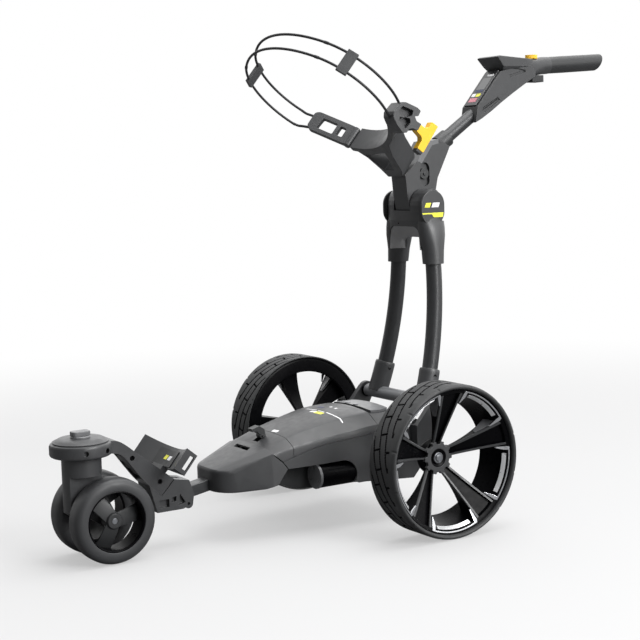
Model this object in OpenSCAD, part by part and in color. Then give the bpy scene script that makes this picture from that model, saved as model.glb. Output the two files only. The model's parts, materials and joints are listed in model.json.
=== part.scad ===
// Electric golf trolley: three-point frame with two driven rear wheels, a twin-wheel front
// caster, a folding two-tube stem and a handle with a bag cradle.
// Forward is -Y, up is +Z, the trolley's left is +X. The ground is z = 0.

/* [Overall] */
// Distance from the origin back to the rear axle
axle_y = 11; // [0:0.1:30]
// Running gap between parts that move past each other
run_gap = 0.05; // [0.02:0.01:0.1]
// Gap between covers that only sit side by side
seam_gap = 0.6; // [0.3:0.1:1.5]

/* [Rear wheels] */
// Radius of the tyre tread
wheel_r = 160; // [150:1:170]
// Width of the tyre
wheel_w = 78; // [60:1:84]
// Distance from the trolley's middle to the middle of a wheel
wheel_x = 287; // [280:1:300]
// Number of spokes
spoke_count = 5; // [5:1:7]
// Radius of the drive axle
drive_r = 8; // [6:0.5:10]

/* [Front caster] */
// Radius of the twin front wheels
caster_r = 86; // [80:1:88]
// Distance from the rear axle forward to the front axle
wheelbase = 638; // [630:1:645]
// Distance the swivel axis stands in front of the front axle
caster_trail = 40; // [36:1:44]
// Radius of the swivel column
column_r = 39.5; // [36:0.5:40]

/* [Stem] */
// Height of the lower fold axis above the ground
stem_pivot_z = 245; // [245:1:248]
// Distance of the lower fold axis behind the rear axle
stem_pivot_y = 100; // [98:1:102]
// Radius of the two stem tubes
stem_tube_r = 17.5; // [16:0.5:18]
// Bend radius of the stem tubes
stem_bend_r = 920; // [900:10:940]
// Height of the upper fold axis
knee_z = 676; // [674:1:678]
// Distance of the upper fold axis behind the rear axle
knee_y = 150; // [149:1:151]

/* [Handle and cradle] */
// Radius of the handle tube
handle_r = 15; // [13:0.5:16]
// Radius of the grip
grip_r = 19.5; // [18:0.5:21]
// Radius of the golf bag that the cradle holds
bag_r = 200; // [190:1:205]
// Radius of the elastic cord
cord_r = 2.75; // [2:0.25:3.5]
// Radius of the accessory socket under the grip
socket_r = 6; // [5:0.25:7]
// Depth of the accessory socket
socket_depth = 15; // [10:1:16]

/* [Hidden] */
$fn = 48;
cradle_tilt = 40;
front_y = -wheelbase;
swivel_y = front_y - caster_trail;

// ---------- placing and drawing helpers ----------

// Everything is drawn with y measured back from the rear axle
module from_axle() {
    translate([0, axle_y, 0]) children();
}

// A (y, z) outline made solid between two x planes
module across(outline, x0, x1) {
    translate([x0, 0, 0]) rotate([90, 0, 90]) linear_extrude(x1 - x0) polygon(outline);
}

// The same, centred on the trolley's middle
module across_mid(outline, width) {
    across(outline, -width / 2, width / 2);
}

// A shape turned from +Z to lie along +X
module along_x() {
    rotate([0, 90, 0]) children();
}

// A shape turned from +Z to lie along +Y
module along_y() {
    rotate([-90, 0, 0]) children();
}

// Round bar along +X between two planes
module bar_x(r, x0, x1, y, z) {
    translate([x0, y, z]) along_x() cylinder(r = r, h = x1 - x0);
}

// The original and its mirror image on the other side of the trolley
module both_sides() {
    children();
    mirror([1, 0, 0]) children();
}

// The plane of the golf bag's cross-section: x across, -y up the cradle, z along the bag
module bag_frame() {
    from_axle() rotate([-cradle_tilt, 0, 0]) children();
}

// Round bar between two points of the middle plane, each [y, z]
module mid_bar(a, b, r) {
    run = b - a;
    translate([0, a[0], a[1]])
        rotate([-atan2(run[0], run[1]), 0, 0]) cylinder(r = r, h = norm(run));
}

// A turned shape along the line between two points of the middle plane
module mid_turn(a, b, profile) {
    run = b - a;
    translate([0, a[0], a[1]])
        rotate([-atan2(run[0], run[1]), 0, 0]) rotate_extrude() polygon(profile);
}

// ---------- battery body ----------

body_slices = [
    // y, top half width, top height, edge half width, edge height, side half width, foot height
    [-295, 74, 181, 91, 178, 97, 108],
    [-247, 68, 203, 98, 188, 103, 104],
    [-115, 84, 231, 113, 205, 122, 88],
    [-46, 80, 236, 118, 213, 127, 86],
    [78, 78, 236, 118, 213, 127, 86]
];

module body_slice(s, inset) {
    translate([0, s[0], 0]) rotate([90, 0, 0]) linear_extrude(0.1)
        polygon([
            [-s[1] + inset, s[2] - inset], [s[1] - inset, s[2] - inset],
            [s[3] - inset, s[4] - inset * 0.5], [s[5] - inset, s[6]],
            [-s[5] + inset, s[6]], [-s[3] + inset, s[4] - inset * 0.5]
        ]);
}

module body_form(inset) {
    hull() for (s = body_slices) body_slice(s, inset);
}

// Slanted line that the lid's skirt and the shell's rim share
lid_rim = [[-46, 199.5], [-82, 195], [-181, 185], [-271, 160.5]];

// Barrel along the lid's rear edge that the lid turns on
lid_hinge = [-45.2, 233.7];
lid_hinge_r = 2.2;

module drawbar_space() {
    across_mid([[-498, 88], [-262, 128.5], [-262, 153], [-498, 112]], 32);
}

module motor_places() {
    for (x = [-92, 92]) translate([x, 0, 118]) children();
}

module shell_outline() {
    across_mid([
        [-271, 159.5], [-260, 144], [-177, 146], [-139, 150.5], [-115, 138], [-105, 118],
        [-110, 88], [40, 88], [77, 125], [77, 206], [14, 231], [-44.5, 231], [-46, 198.9],
        [-82, 194.4], [-181, 184.4]
    ], 300);
}

module hinge_lug() {
    difference() {
        union() {
            bar_x(20, 132, 145, stem_pivot_y, stem_pivot_z);
            across([
                [38, 160], [76, 160], [119, 240], [stem_pivot_y, stem_pivot_z],
                [stem_pivot_y - 16, 257], [38, 205]
            ], 132, 145);
            across([[38, 160], [76, 160], [76, 205], [38, 205]], 100, 133);
        }
        bar_x(drive_r + run_gap, 120, 150, stem_pivot_y, stem_pivot_z);
    }
}

module body_shell() {
    color("#3b3c3e") from_axle() {
        difference() {
            union() {
                difference() {
                    intersection() {
                        body_form(0);
                        shell_outline();
                    }
                    intersection() {
                        body_form(3.5);
                        across_mid([
                            [-252, 149], [-104, 154], [-100, 92], [38, 92],
                            [72, 128], [72, 203], [12, 227], [-41, 227], [-41, 260], [-252, 260]
                        ], 300);
                    }
                }
                both_sides() hinge_lug();
            }
            motor_places() translate([0, -130, 0]) along_y() cylinder(r = 26.6, h = 40);
            both_sides() bar_x(24, 110, 131.5, 0, wheel_r);
            drawbar_space();
        }
    }
}

module battery_lid() {
    color("#444548") from_axle() difference() {
        union() {
            difference() {
                intersection() {
                    body_form(0);
                    across_mid([
                        [-293.5, 200], [-293.5, 179], lid_rim[3], lid_rim[2], lid_rim[1],
                        lid_rim[0], [-46, 240], [-250, 240]
                    ], 300);
                }
                intersection() {
                    body_form(3);
                    across_mid([[-290, 140], [-49, 140], [-49, 240], [-290, 240]], 300);
                }
            }
            both_sides() across(
                [[-277, 188], [-259, 196], [-262, 204], [-267, 208], [-273, 206]], 9.8, 13.5
            );
            bar_x(lid_hinge_r, -60, 60, lid_hinge[0], lid_hinge[1]);
        }
        bar_x(2.5 + run_gap, -20, 20, -268, 202);
    }
}

module fold_catch() {
    color("#1b1b1d") from_axle() {
        bar_x(2.5, -13.5, 13.5, -268, 202);
        bar_x(6.5, -9.5, 9.5, -268, 202);
        across_mid([
            [-273, 206], [-262, 206], [-264, 216], [-276, 224], [-294, 219], [-294, 213],
            [-282, 213], [-277, 207]
        ], 19);
    }
}

module nose_form(inset) {
    hull() {
        for (x = [-15, 15]) translate([x, -352, 104 + inset])
            cylinder(r = 60 - inset, h = 48 - 2 * inset, $fn = 32);
        body_slice([-296, 74, 181, 91, 178, 97, 108 + inset], inset);
        body_slice([-262, 72, 197, 95, 184, 101, 108 + inset], inset);
    }
}

module nose_cover() {
    color("#414245") from_axle() difference() {
        intersection() {
            nose_form(0);
            across_mid([
                [-414, 103], [-330, 103], [-286, 113], [-262, 144], [-273, 158.5],
                [-294.5, 178.5], [-294.5, 186], [-414, 186]
            ], 300);
        }
        nose_form(3);
        drawbar_space();
        translate([-22, -322, 165]) cube([44, 16, 40]);
    }
}

module belly_pan() {
    color("#2a2b2d") from_axle() difference() {
        across_mid([
            [-262, 142.5], [-284, 116], [-243, 98], [-205, 88], [-140, 84], [-112, 84],
            [-107, 118], [-117, 137], [-141, 149], [-177, 144.5]
        ], 116);
        across_mid([
            [-262, 138], [-279, 117], [-242, 102], [-205, 92], [-140, 88], [-116, 88],
            [-111, 117], [-120, 135], [-141, 145], [-177, 140]
        ], 108);
        nose_form(-seam_gap);
        drawbar_space();
    }
}

module rear_cover() {
    color("#6c6d70") from_axle() translate([0, 0, 231]) linear_extrude(5) difference() {
        polygon([[-70, -42], [70, -42], [76, -10], [66, 13.5], [-66, 13.5], [-76, -10]]);
        for (x = [-22, 10]) translate([x, -14]) circle(r = 6);
    }
}

module battery_pack() {
    color("#26282b") from_axle() {
        translate([-60, -218, 154.5]) cube([120, 150, 44]);
        translate([-20, -190, 198.5]) cube([40, 14, 8]);
    }
}

module controller_box() {
    color("#2f5d46") from_axle() translate([-52, -250, 154]) cube([104, 28, 26]);
}

module motors() {
    color("#17181a") from_axle() motor_places() {
        translate([0, -188, 0]) along_y() cylinder(r = 26, h = 91);
        translate([0, -97, 0]) along_y() cylinder(r = 4, h = 4);
    }
}

module motor_plates() {
    color("#8b8d90") from_axle() motor_places() translate([0, -194, 0]) along_y() difference() {
        cylinder(r = 27, h = 6);
        for (turn = [30 : 120 : 270]) rotate(turn) translate([18, 0, -1]) cylinder(r = 2, h = 8);
    }
}

module gearboxes() {
    color("#9a9ca0") from_axle() both_sides() difference() {
        across([
            [-96, 94], [-30, 94], [34, 130], [34, 190], [-34, 190], [-96, 146]
        ], 62, 115);
        bar_x(14, 100, 116, 0, wheel_r);
        bar_x(9, 80, 101, 0, wheel_r);
        translate([92, -97, 118]) along_y() cylinder(r = 4.2, h = 6);
    }
}

module axle_bearings() {
    color("#c9cbce") from_axle() both_sides() difference() {
        bar_x(14, 101, 114, 0, wheel_r);
        bar_x(drive_r + run_gap, 100, 115, 0, wheel_r);
    }
}

// ---------- rear wheels ----------

// A ring turned about the axle; profile points are [radius, x from the wheel's middle]
module wheel_ring(profile) {
    along_x() rotate_extrude($fn = 96) polygon(profile);
}

module left_wheel() {
    from_axle() translate([wheel_x, 0, wheel_r]) children();
}

module right_wheel() {
    from_axle() translate([-wheel_x, 0, wheel_r]) mirror([1, 0, 0]) children();
}

bead_r = 147;
lip_r = 154;
barrel_r = 141;
hub_face = -24;

module rear_tyre() {
    half = wheel_w / 2;
    color("#2e2f31") wheel_ring([
        [bead_r, -half + 12], [lip_r + 0.5, -half + 12], [lip_r + 0.5, -half + 4],
        [wheel_r - 2, -half], [wheel_r, -half + 3], [wheel_r, half - 3], [wheel_r - 2, half],
        [lip_r + 0.5, half - 4], [lip_r + 0.5, half - 12], [bead_r, half - 12]
    ]);
}

window_inner = 54;
window_outer = 137;

// One gap between spokes, centred on +Y
module spoke_window(turn) {
    rotate([turn, 0, 0]) across([
        [window_inner, -6], [window_outer - 14, -46], [window_outer - 2, -34],
        [window_outer + 2, 0], [window_outer - 2, 34], [window_outer - 14, 46],
        [window_inner, 6]
    ], -60, 60);
}

module rear_rim(turn) {
    half = wheel_w / 2;
    color("#1e1f21") difference() {
        wheel_ring([
            [drive_r, hub_face - 20], [36, hub_face - 20], [36, hub_face - 14],
            [barrel_r, 4], [barrel_r, -half + 2], [lip_r, -half + 4], [lip_r, -half + 12],
            [bead_r, -half + 12], [bead_r, half - 12], [lip_r, half - 12], [lip_r, half - 5],
            [148, 30], [barrel_r, 28.5], [barrel_r, 26], [36, hub_face], [drive_r, hub_face]
        ]);
        for (k = [0 : spoke_count - 1]) spoke_window(turn + (k + 0.5) * 360 / spoke_count);
    }
}

module rear_trim(turn) {
    span = 40;
    color("#c6c8ca") for (k = [0 : spoke_count - 1])
        rotate([turn + (k + 0.5) * 360 / spoke_count, 0, 0]) along_x()
            rotate([0, 0, 90 - span / 2]) rotate_extrude(angle = span, $fn = 96)
                polygon([
                    [134, 26.6], [141, 28.6], [147.9, 30.1], [147.5, 32], [140.6, 30.6],
                    [135, 28.6]
                ]);
}

module rear_hub() {
    color("#3a3b3d") along_x() translate([0, 0, hub_face]) difference() {
        union() {
            cylinder(r = 29, h = 8);
            for (k = [0 : 9]) rotate(k * 36) translate([26, -4.5, 0]) cube([9, 9, 6]);
        }
        translate([0, 0, -1]) cylinder(r = drive_r, h = 10);
    }
}

// The axle runs from the gearbox out to the face of the hub
module rear_axle() {
    color("#b9bbbe") along_x() translate([0, 0, 92 - wheel_x])
        cylinder(r = drive_r, h = wheel_x - 92 + hub_face + 10);
}

spoke_turn_left = 18;
spoke_turn_right = 33;

module tyre_left() { left_wheel() rear_tyre(); }
module rim_left() { left_wheel() rear_rim(spoke_turn_left); }
module rim_trim_left() { left_wheel() rear_trim(spoke_turn_left); }
module hub_left() { left_wheel() rear_hub(); }
module axle_left() { left_wheel() rear_axle(); }
module tyre_right() { right_wheel() rear_tyre(); }
module rim_right() { right_wheel() rear_rim(spoke_turn_right); }
module rim_trim_right() { right_wheel() rear_trim(spoke_turn_right); }
module hub_right() { right_wheel() rear_hub(); }
module axle_right() { right_wheel() rear_axle(); }

// ---------- drawbar, front arm and caster ----------

module drawbar() {
    color("#3d3e41") from_axle() difference() {
        drawbar_space();
        across_mid([[-499, 91], [-261, 131.5], [-261, 150], [-499, 109]], 26);
    }
}

module front_bracket() {
    color("#35363a") from_axle() difference() {
        union() {
            across_mid([
                [-546, 137.4], [-530, 79], [-471, 79], [-449, 88], [-446, 106], [-456, 137],
                [-489, 143], [-518.5, 113]
            ], 56);
            bar_x(10, -28, 28, -459, 88);
        }
        drawbar_space();
        bar_x(3, -30, 30, -459, 88);
        both_sides() {
            across([[-525, 88], [-503, 88], [-503, 104], [-525, 104]], 20, 30);
            across([[-497, 96], [-487, 98], [-487, 108], [-497, 106]], 20, 30);
            across([[-482, 88], [-466, 92], [-478, 112]], 20, 30);
        }
        translate([-8, -484, 125]) cube([16, 16, 30]);
    }
}

arm_outline = [
    [-623, 240], [-600, 233], [-563, 202], [-491, 144.5], [-519, 114.5], [-549.5, 141],
    [-573, 168], [-604, 203], [-626, 213], [-660, 213], [-660, 240]
];

module arm_bores(r, x0, x1) {
    for (p = [[-643, 226], [-581, 199], [-522, 143]]) bar_x(r, x0, x1, p[0], p[1]);
}

module head_disc(r, z0, z1) {
    translate([0, swivel_y, z0]) cylinder(r = r, h = z1 - z0);
}

// Left and right halves of the arm meet on the middle plane
module front_arm_shells() {
    color("#404144") from_axle() both_sides() intersection() {
        difference() {
            union() {
                across_mid(arm_outline, 56);
                head_disc(62, 213, 240);
            }
            across([[-620, 216], [-598, 206], [-566, 170], [-545, 146], [-560, 188], [-600, 222]],
                -22, 22);
            translate([0, swivel_y, 212]) cylinder(r = 20, h = 20);
            translate([0, swivel_y, 229]) cylinder(r = 14, h = 20);
            arm_bores(3, -30, 30);
            arm_bores(5.5, 24, 30);
        }
        translate([0.05, -800, 0]) cube([200, 800, 400]);
    }
}

module arm_screws() {
    color("#111214") from_axle() {
        for (p = [[-643, 226], [-581, 199], [-522, 143]]) {
            bar_x(3, -24, 24, p[0], p[1]);
            bar_x(5, 24, 25.5, p[0], p[1]);
        }
        bar_x(3, -30, 30, -459, 88);
    }
}

module caster_head() {
    color("#3a3b3e") from_axle() difference() {
        union() {
            head_disc(60, 240, 244);
            translate([0, swivel_y, 244]) cylinder(r1 = 56, r2 = 44, h = 5);
            translate([0, swivel_y, 228]) cylinder(r = 14, h = 13);
        }
        translate([0, swivel_y, 227]) cylinder(r = 6 + run_gap, h = 30);
    }
}

module caster_lock_knob() {
    color("#46474a") from_axle() translate([0, swivel_y, 0]) {
        translate([0, 0, 240]) cylinder(r = 6, h = 10);
        translate([0, 0, 249.3]) cylinder(r = 20, h = 4);
        translate([0, 0, 253.3]) linear_extrude(10) intersection() {
            circle(r = 20);
            square([24, 44], center = true);
        }
    }
}

// Column under the head, narrowing to a leg between the two wheels
module caster_fork() {
    color("#37383b") from_axle() difference() {
        union() {
            translate([0, swivel_y, 176]) cylinder(r = column_r, h = 36.3);
            translate([0, swivel_y, 212]) cylinder(r = 13, h = 16);
            intersection() {
                translate([0, swivel_y, 70]) cylinder(r = column_r, h = 107);
                across_mid([
                    [swivel_y - 40, 180], [swivel_y - 40, 104], [swivel_y - 24, 92],
                    [swivel_y + 42, 92], [swivel_y + 42, 180]
                ], 40);
            }
            across_mid([
                [swivel_y, 92], [front_y - 8, 70], [front_y + 12, 72],
                [front_y + 16, 100], [swivel_y + 20, 176], [swivel_y, 150]
            ], 40);
        }
        bar_x(6, -30, 30, front_y, caster_r);
    }
}

module caster_axle() {
    color("#bdbfc2") from_axle() bar_x(6, -60, 60, front_y, caster_r);
}

module caster_side(side) {
    from_axle() translate([side * 47, front_y, caster_r]) mirror([side < 0 ? 1 : 0, 0, 0]) children();
}

module caster_tyre() {
    color("#3a3b3e") along_x() rotate_extrude($fn = 96) polygon([
        [61, -22], [74, -24], [82, -20], [caster_r, -12], [caster_r, 12], [82, 20],
        [74, 25], [61, 25]
    ]);
}

module caster_rim() {
    color("#232426") along_x() difference() {
        union() {
            rotate_extrude($fn = 96) polygon([[57, -21], [61, -21], [61, 24], [57, 24]]);
            for (turn = [0 : 120 : 240]) rotate(turn + 10) translate([10, -13, -3])
                cube([48, 26, 8]);
            translate([0, 0, -21]) cylinder(r = 17, h = 36);
        }
        translate([0, 0, -30]) cylinder(r = 6 + run_gap, h = 60);
    }
}

module caster_tyre_left() { caster_side(1) caster_tyre(); }
module caster_rim_left() { caster_side(1) caster_rim(); }
module caster_tyre_right() { caster_side(-1) caster_tyre(); }
module caster_rim_right() { caster_side(-1) caster_rim(); }

// ---------- lower bag support ----------

rest_s = 500.6;
rest_low = -197;
rest_high = -149;

// Curved centre panel, two slotted wings and a foot that stands on the arm
module lower_bag_support() {
    color("#47484b") bag_frame() difference() {
        union() {
            translate([0, 0, rest_low]) linear_extrude(rest_high - rest_low) difference() {
                translate([-96, -rest_s - 10]) square([192, 22]);
                translate([0, -rest_s - 193]) circle(r = 200);
            }
            translate([-22, -rest_s - 4, rest_low - 12]) cube([44, 16, 14]);
        }
        both_sides() translate([85, 0, rest_low + 9]) along_y() translate([0, 0, -rest_s - 20])
            linear_extrude(40) translate([-4, -30]) square([8, 30]);
        both_sides() translate([58, -rest_s - 20, rest_low - 1]) cube([2, 23, 60]);
        from_arm();
    }
}

// The arm's volume, cut out of what stands on it
module from_arm() {
    rotate([cradle_tilt, 0, 0]) across_mid(
        [for (p = arm_outline) p + [0.02, 0.02]], 60
    );
}

module bag_support_pad() {
    color("#17181a") bag_frame() translate([0, 0, rest_low + 8]) linear_extrude(34)
        intersection() {
            translate([-26, -rest_s]) square([52, 20]);
            difference() {
                translate([0, -rest_s - 193]) circle(r = 200);
                translate([0, -rest_s - 195]) circle(r = 200);
            }
        }
}

// ---------- stem ----------

stem_top_z = 545;
stem_top_x = 66;
stem_top_y = 149.6;
stem_splay = 4.7;

// A round section swept along the stem tube's bend, from a height below the top to one above it
module stem_sweep(r, below, above) {
    low = asin(below / stem_bend_r);
    high = asin(above / stem_bend_r);
    translate([stem_top_x, stem_top_y - stem_bend_r, stem_top_z])
        rotate([0, -stem_splay, 0]) rotate([90, 0, 90]) rotate([0, 0, -low])
            rotate_extrude(angle = low + high, $fn = 96)
                translate([stem_bend_r, 0]) circle(r = r);
}

module stem_tubes() {
    color("#48494b") from_axle() both_sides() difference() {
        stem_sweep(stem_tube_r, 275, 24);
        stem_sweep(stem_tube_r - 2, 276, 25);
    }
}

module stem_barrel() {
    color("#8e9092") from_axle() difference() {
        bar_x(13.5, -131, 131, stem_pivot_y, stem_pivot_z);
        bar_x(drive_r, -132, 132, stem_pivot_y, stem_pivot_z);
    }
}

module lower_collars() {
    color("#3f4043") from_axle() both_sides() difference() {
        union() {
            stem_sweep(23, 286, -232);
            bar_x(21, 66, 110, stem_pivot_y, stem_pivot_z);
        }
        stem_sweep(stem_tube_r, 275, 0);
        bar_x(13.5, 40, 130, stem_pivot_y, stem_pivot_z);
    }
}

ear_in = 30;
ear_out = 74;
collar_r = 23.5;

// Each leg of the yoke runs from a tube collar up to the knee's ear
module yoke_leg() {
    hull() {
        translate([68, 150, 574]) cylinder(r = collar_r, h = 2, $fn = 32);
        bar_x(34, ear_in + 10, ear_out, knee_y, knee_z, $fn = 32);
    }
}

module stem_yoke() {
    color("#46474a") from_axle() both_sides() difference() {
        union() {
            yoke_leg();
            stem_sweep(collar_r, 0, 32);
            bar_x(36, ear_in, ear_out, knee_y, knee_z);
            across([[128, 600], [166, 600], [145, 628], [128, 628]], 0, 60);
        }
        stem_sweep(stem_tube_r + run_gap, 0, 24.2);
        translate([ear_out, 60, 634]) cube([30, 140, 120]);
        bar_x(9, ear_in - 5, ear_out + 5, knee_y, knee_z);
        across([[100, 640], [200, 640], [200, 740], [100, 740]], -ear_in, ear_in);
        translate([-1, 60, 560]) cube([1, 140, 100]);
        across([[60, 575], [123.5, 575], [123.5, 720], [60, 720]], -1, 100);
    }
}

module yoke_front_cover() {
    color("#2c2d2f") from_axle() difference() {
        translate([0, 123.4, 0]) rotate([90, 0, 0]) linear_extrude(6) polygon([
            [-86, 576], [-80, 630], [-73.5, 636], [-72, 676], [-40, 690], [-32, 650],
            [32, 650], [40, 690], [72, 676], [73.5, 636], [80, 630], [86, 576], [61, 576], [56, 606], [40, 618],
            [-40, 618], [-56, 606], [-61, 576]
        ]);
        translate([-14, 110, 635]) along_y() cylinder(r = 2, h = 20);
    }
}

module hinge_caps() {
    color("#55565a") from_axle() both_sides() translate([ear_out, 148, 0]) rotate([90, 0, 90])
        linear_extrude(3.5) hull() {
            translate([0, 681]) circle(r = 28, $fn = 64);
            translate([0, 662]) circle(r = 28, $fn = 64);
        }
}

module stem_fasteners() {
    color("#a6a8ab") from_axle() {
        bar_x(drive_r, -145, 145, stem_pivot_y, stem_pivot_z);
        bar_x(9, -ear_out, ear_out, knee_y, knee_z);
    }
}

// ---------- neck, knuckle and handle ----------

neck_w = 54;
tube_low = [216, 806.5];
tube_high = [320, 876];
tube_dir = (tube_high - tube_low) / norm(tube_high - tube_low);
grip_low = [524, 989.8];
grip_high = [717, 1001.5];
grip_dir = (grip_high - grip_low) / norm(grip_high - grip_low);
grip_len = norm(grip_high - grip_low);

module neck_form() {
    union() {
        bar_x(34, -27, 27, knee_y, knee_z);
        across_mid([
            [117, 668], [111, 700], [107, 740], [104, 743], [141, 774], [171, 817],
            [199, 821], [232, 805], [224, 789], [196, 735], [184, 680]
        ], neck_w);
    }
}

module neck_shell() {
    color("#3c3d40") from_axle() difference() {
        neck_form();
        bar_x(9 + run_gap, -30, 30, knee_y, knee_z);
        knuckle_top(0);
        mid_bar(tube_low - 15 * tube_dir, tube_high, handle_r + run_gap);
        both_sides() lock_recess();
    }
}

module knuckle_top(gap) {
    across_mid([
        [141, 774], [152, 768], [182, 808], [200, 812], [199, 823], [170, 820]
    ], neck_w - 2 * gap);
}

module knuckle_cover() {
    color("#6a6b6e") from_axle() intersection() {
        neck_form();
        difference() {
            knuckle_top(0);
            mid_bar(tube_low - 15 * tube_dir, tube_high, handle_r + run_gap);
        }
    }
}

// Slot in each side of the knuckle that the fold lock slides in
module lock_recess() {
    across([[147, 730], [173, 730], [173, 757], [147, 757]], 20, 30);
    bar_x(13, 20, 30, 160, 757);
    bar_x(13, 20, 30, 160, 730);
}

module fold_lock_button() {
    color("#2a2b2d") from_axle() both_sides() {
        bar_x(12, 20.2, 26, 160, 745);
        bar_x(4, 26, 28.5, 160, 745);
    }
}

module handle_collar() {
    color("#303134") from_axle() difference() {
        mid_bar([218, 808], [244, 824.5], 20);
        mid_bar(tube_low - 15 * tube_dir, tube_high, handle_r + run_gap);
        neck_form();
    }
}

module handle_tube() {
    color("#48494c") from_axle() difference() {
        mid_bar(tube_low, tube_high, handle_r);
        mid_bar(tube_low - 3 * tube_dir, tube_high + 3 * tube_dir, handle_r - 2);
    }
}

pod_w = 76;
dial_y = 499;

module pod_housing() {
    color("#3a3b3e") from_axle() difference() {
        union() {
            across_mid([
                [307, 857], [315, 895], [384, 975], [489, 975], [487, 962], [410, 930],
                [360, 876]
            ], 56);
            across_mid([
                [385, 975], [366, 1006], [372, 1009], [455, 1004], [478, 1003], [482, 975]
            ], pod_w);
            mid_bar(grip_low - 46 * grip_dir, grip_low, grip_r + 1);
        }
        mid_bar(tube_low, tube_high, handle_r + run_gap);
        across_mid([[392, 984], [450, 984], [450, 1010], [392, 1010]], 60);
        translate([0, dial_y, 985]) cylinder(r = 6 + run_gap, h = 30);
        translate([0, 506, 940]) cylinder(r = 9, h = 35);
        both_sides() across([[406, 975], [430, 964], [455, 975], [430, 986]], 34, 42);
    }
}

module pod_front_panel() {
    color("#1a1b1d") from_axle() across_mid(
        [[314, 895.3], [383, 975], [381, 977], [312, 897]], 44
    );
}

module screen_glass() {
    color("#101214") from_axle() translate([-30, 392, 984]) cube([60, 58, 19]);
}

module grip() {
    color("#2b2c2e") from_axle() mid_turn(grip_low, grip_high, [
        [5, 0], [grip_r, 0], [grip_r, grip_len - 8], [grip_r - 4, grip_len],
        [0, grip_len], [0, grip_len - 30], [5, grip_len - 30]
    ]);
}

module accessory_socket() {
    color("#1c1d1f") from_axle() difference() {
        translate([0, 506, 951]) {
            cylinder(r = 9, h = 24);
            translate([-16, -17, 0]) cube([32, 34, 16]);
        }
        translate([0, 506, 950]) cylinder(r = socket_r, h = socket_depth + 1);
    }
}

module speed_dial() {
    color("#e8b62a") from_axle() translate([0, dial_y, 0]) {
        translate([0, 0, 988]) cylinder(r = 6, h = 23);
        translate([0, 0, 1010.2]) cylinder(r = 17, h = 9);
    }
}

// ---------- bag cradle and strap ----------

cradle_low = 630;
cradle_high = 685;
cradle_s = 697;
hinge_x = -72;
hinge_s = 508;
swing_r = 235;

module cradle_ring_2d() {
    intersection() {
        difference() {
            translate([0, -cradle_s]) circle(r = bag_r + 12);
            translate([0, -cradle_s]) circle(r = bag_r);
        }
        polygon([[-60, -520], [-60, -480], [0, -440], [190, -480], [176, -600], [120, -580], [0, -600]]);
    }
}

// Web that carries the cradle on the neck
module cradle_web_2d() {
    difference() {
        polygon([
            [-27, -400], [27, -400], [45, -420], [66, -470], [90, -506], [0, -520], [-60, -516],
            [-32, -468], [-27, -430]
        ]);
        translate([0, -cradle_s]) circle(r = bag_r + 6);
        polygon([[-14, -424], [20, -424], [40, -462], [48, -480], [-30, -478], [-18, -440]]);
    }
}

module bag_cradle() {
    color("#37383a") bag_frame() difference() {
        intersection() {
            union() {
                translate([0, 0, cradle_low]) linear_extrude(cradle_high - cradle_low)
                    cradle_ring_2d();
                translate([0, 0, cradle_low]) linear_extrude(cradle_high - cradle_low)
                    cradle_web_2d();
            }
            translate([hinge_x, -hinge_s, 0]) cylinder(r = swing_r, h = 900, $fn = 96);
        }
        translate([hinge_x, -hinge_s, cradle_low - 1]) cylinder(r = 9.5, h = 60);
        rotate([cradle_tilt, 0, 0]) neck_form();
    }
}

// Cord path: a wide arc over the bag with a tighter arc at each side
top_arc_r = 263;
side_arc_r = 140;
top_arc_s = 561;
side_arc_end = -32;
side_arc_start = 57;
side_arc_x = (top_arc_r - side_arc_r) * cos(side_arc_start);
side_arc_s = top_arc_s + (top_arc_r - side_arc_r) * sin(side_arc_start);

module cord_arc(r, a0, a1) {
    rotate([0, 0, -a1]) rotate_extrude(angle = a1 - a0, $fn = 96)
        translate([r, 0]) circle(r = cord_r, $fn = 24);
}

module one_cord(h) {
    translate([0, 0, h]) {
        translate([0, -top_arc_s, 0]) cord_arc(top_arc_r, side_arc_start, 180 - side_arc_start);
        both_sides() translate([side_arc_x, -side_arc_s, 0]) {
            cord_arc(side_arc_r, side_arc_end, side_arc_start);
            rotate([0, 0, -side_arc_start]) translate([side_arc_r, 5, 0])
                rotate([90, 0, 0]) cylinder(r = cord_r + 0.6, h = 10);
        }
    }
}

cord_heights = [632, 670];

module strap_cords() {
    color("#1d1e20") bag_frame() for (h = cord_heights) one_cord(h);
}

// Clips that keep the two cords apart
module strap_tabs() {
    color("#3b3c3f") bag_frame() both_sides() difference() {
        translate([side_arc_x, -side_arc_s, 0]) rotate([0, 0, -32]) translate([136, -12, 625])
            cube([8, 24, 52]);
        for (h = cord_heights) one_cord(h);
    }
}

module strap_clip() {
    color("#3a3b3d") bag_frame() difference() {
        translate([0, 0, 640 - 14]) linear_extrude(62) difference() {
            polygon([[163, -540], [196, -540], [204, -592], [174, -598], [163, -560]]);
            translate([hinge_x, -hinge_s]) circle(r = swing_r + 1.5, $fn = 96);
        }
        for (h = cord_heights) one_cord(h);
        translate([190, -530, 651]) rotate([90, 0, 0]) cylinder(r = 5 + run_gap, h = 48);
    }
}

module toggle_handle() {
    color("#f2bb1d") bag_frame() {
        translate([190, -504, 651]) rotate([90, 0, 0]) cylinder(r = 5, h = 66);
        translate([190, -504, 616]) cylinder(r = 9, h = 70);
    }
}

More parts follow.
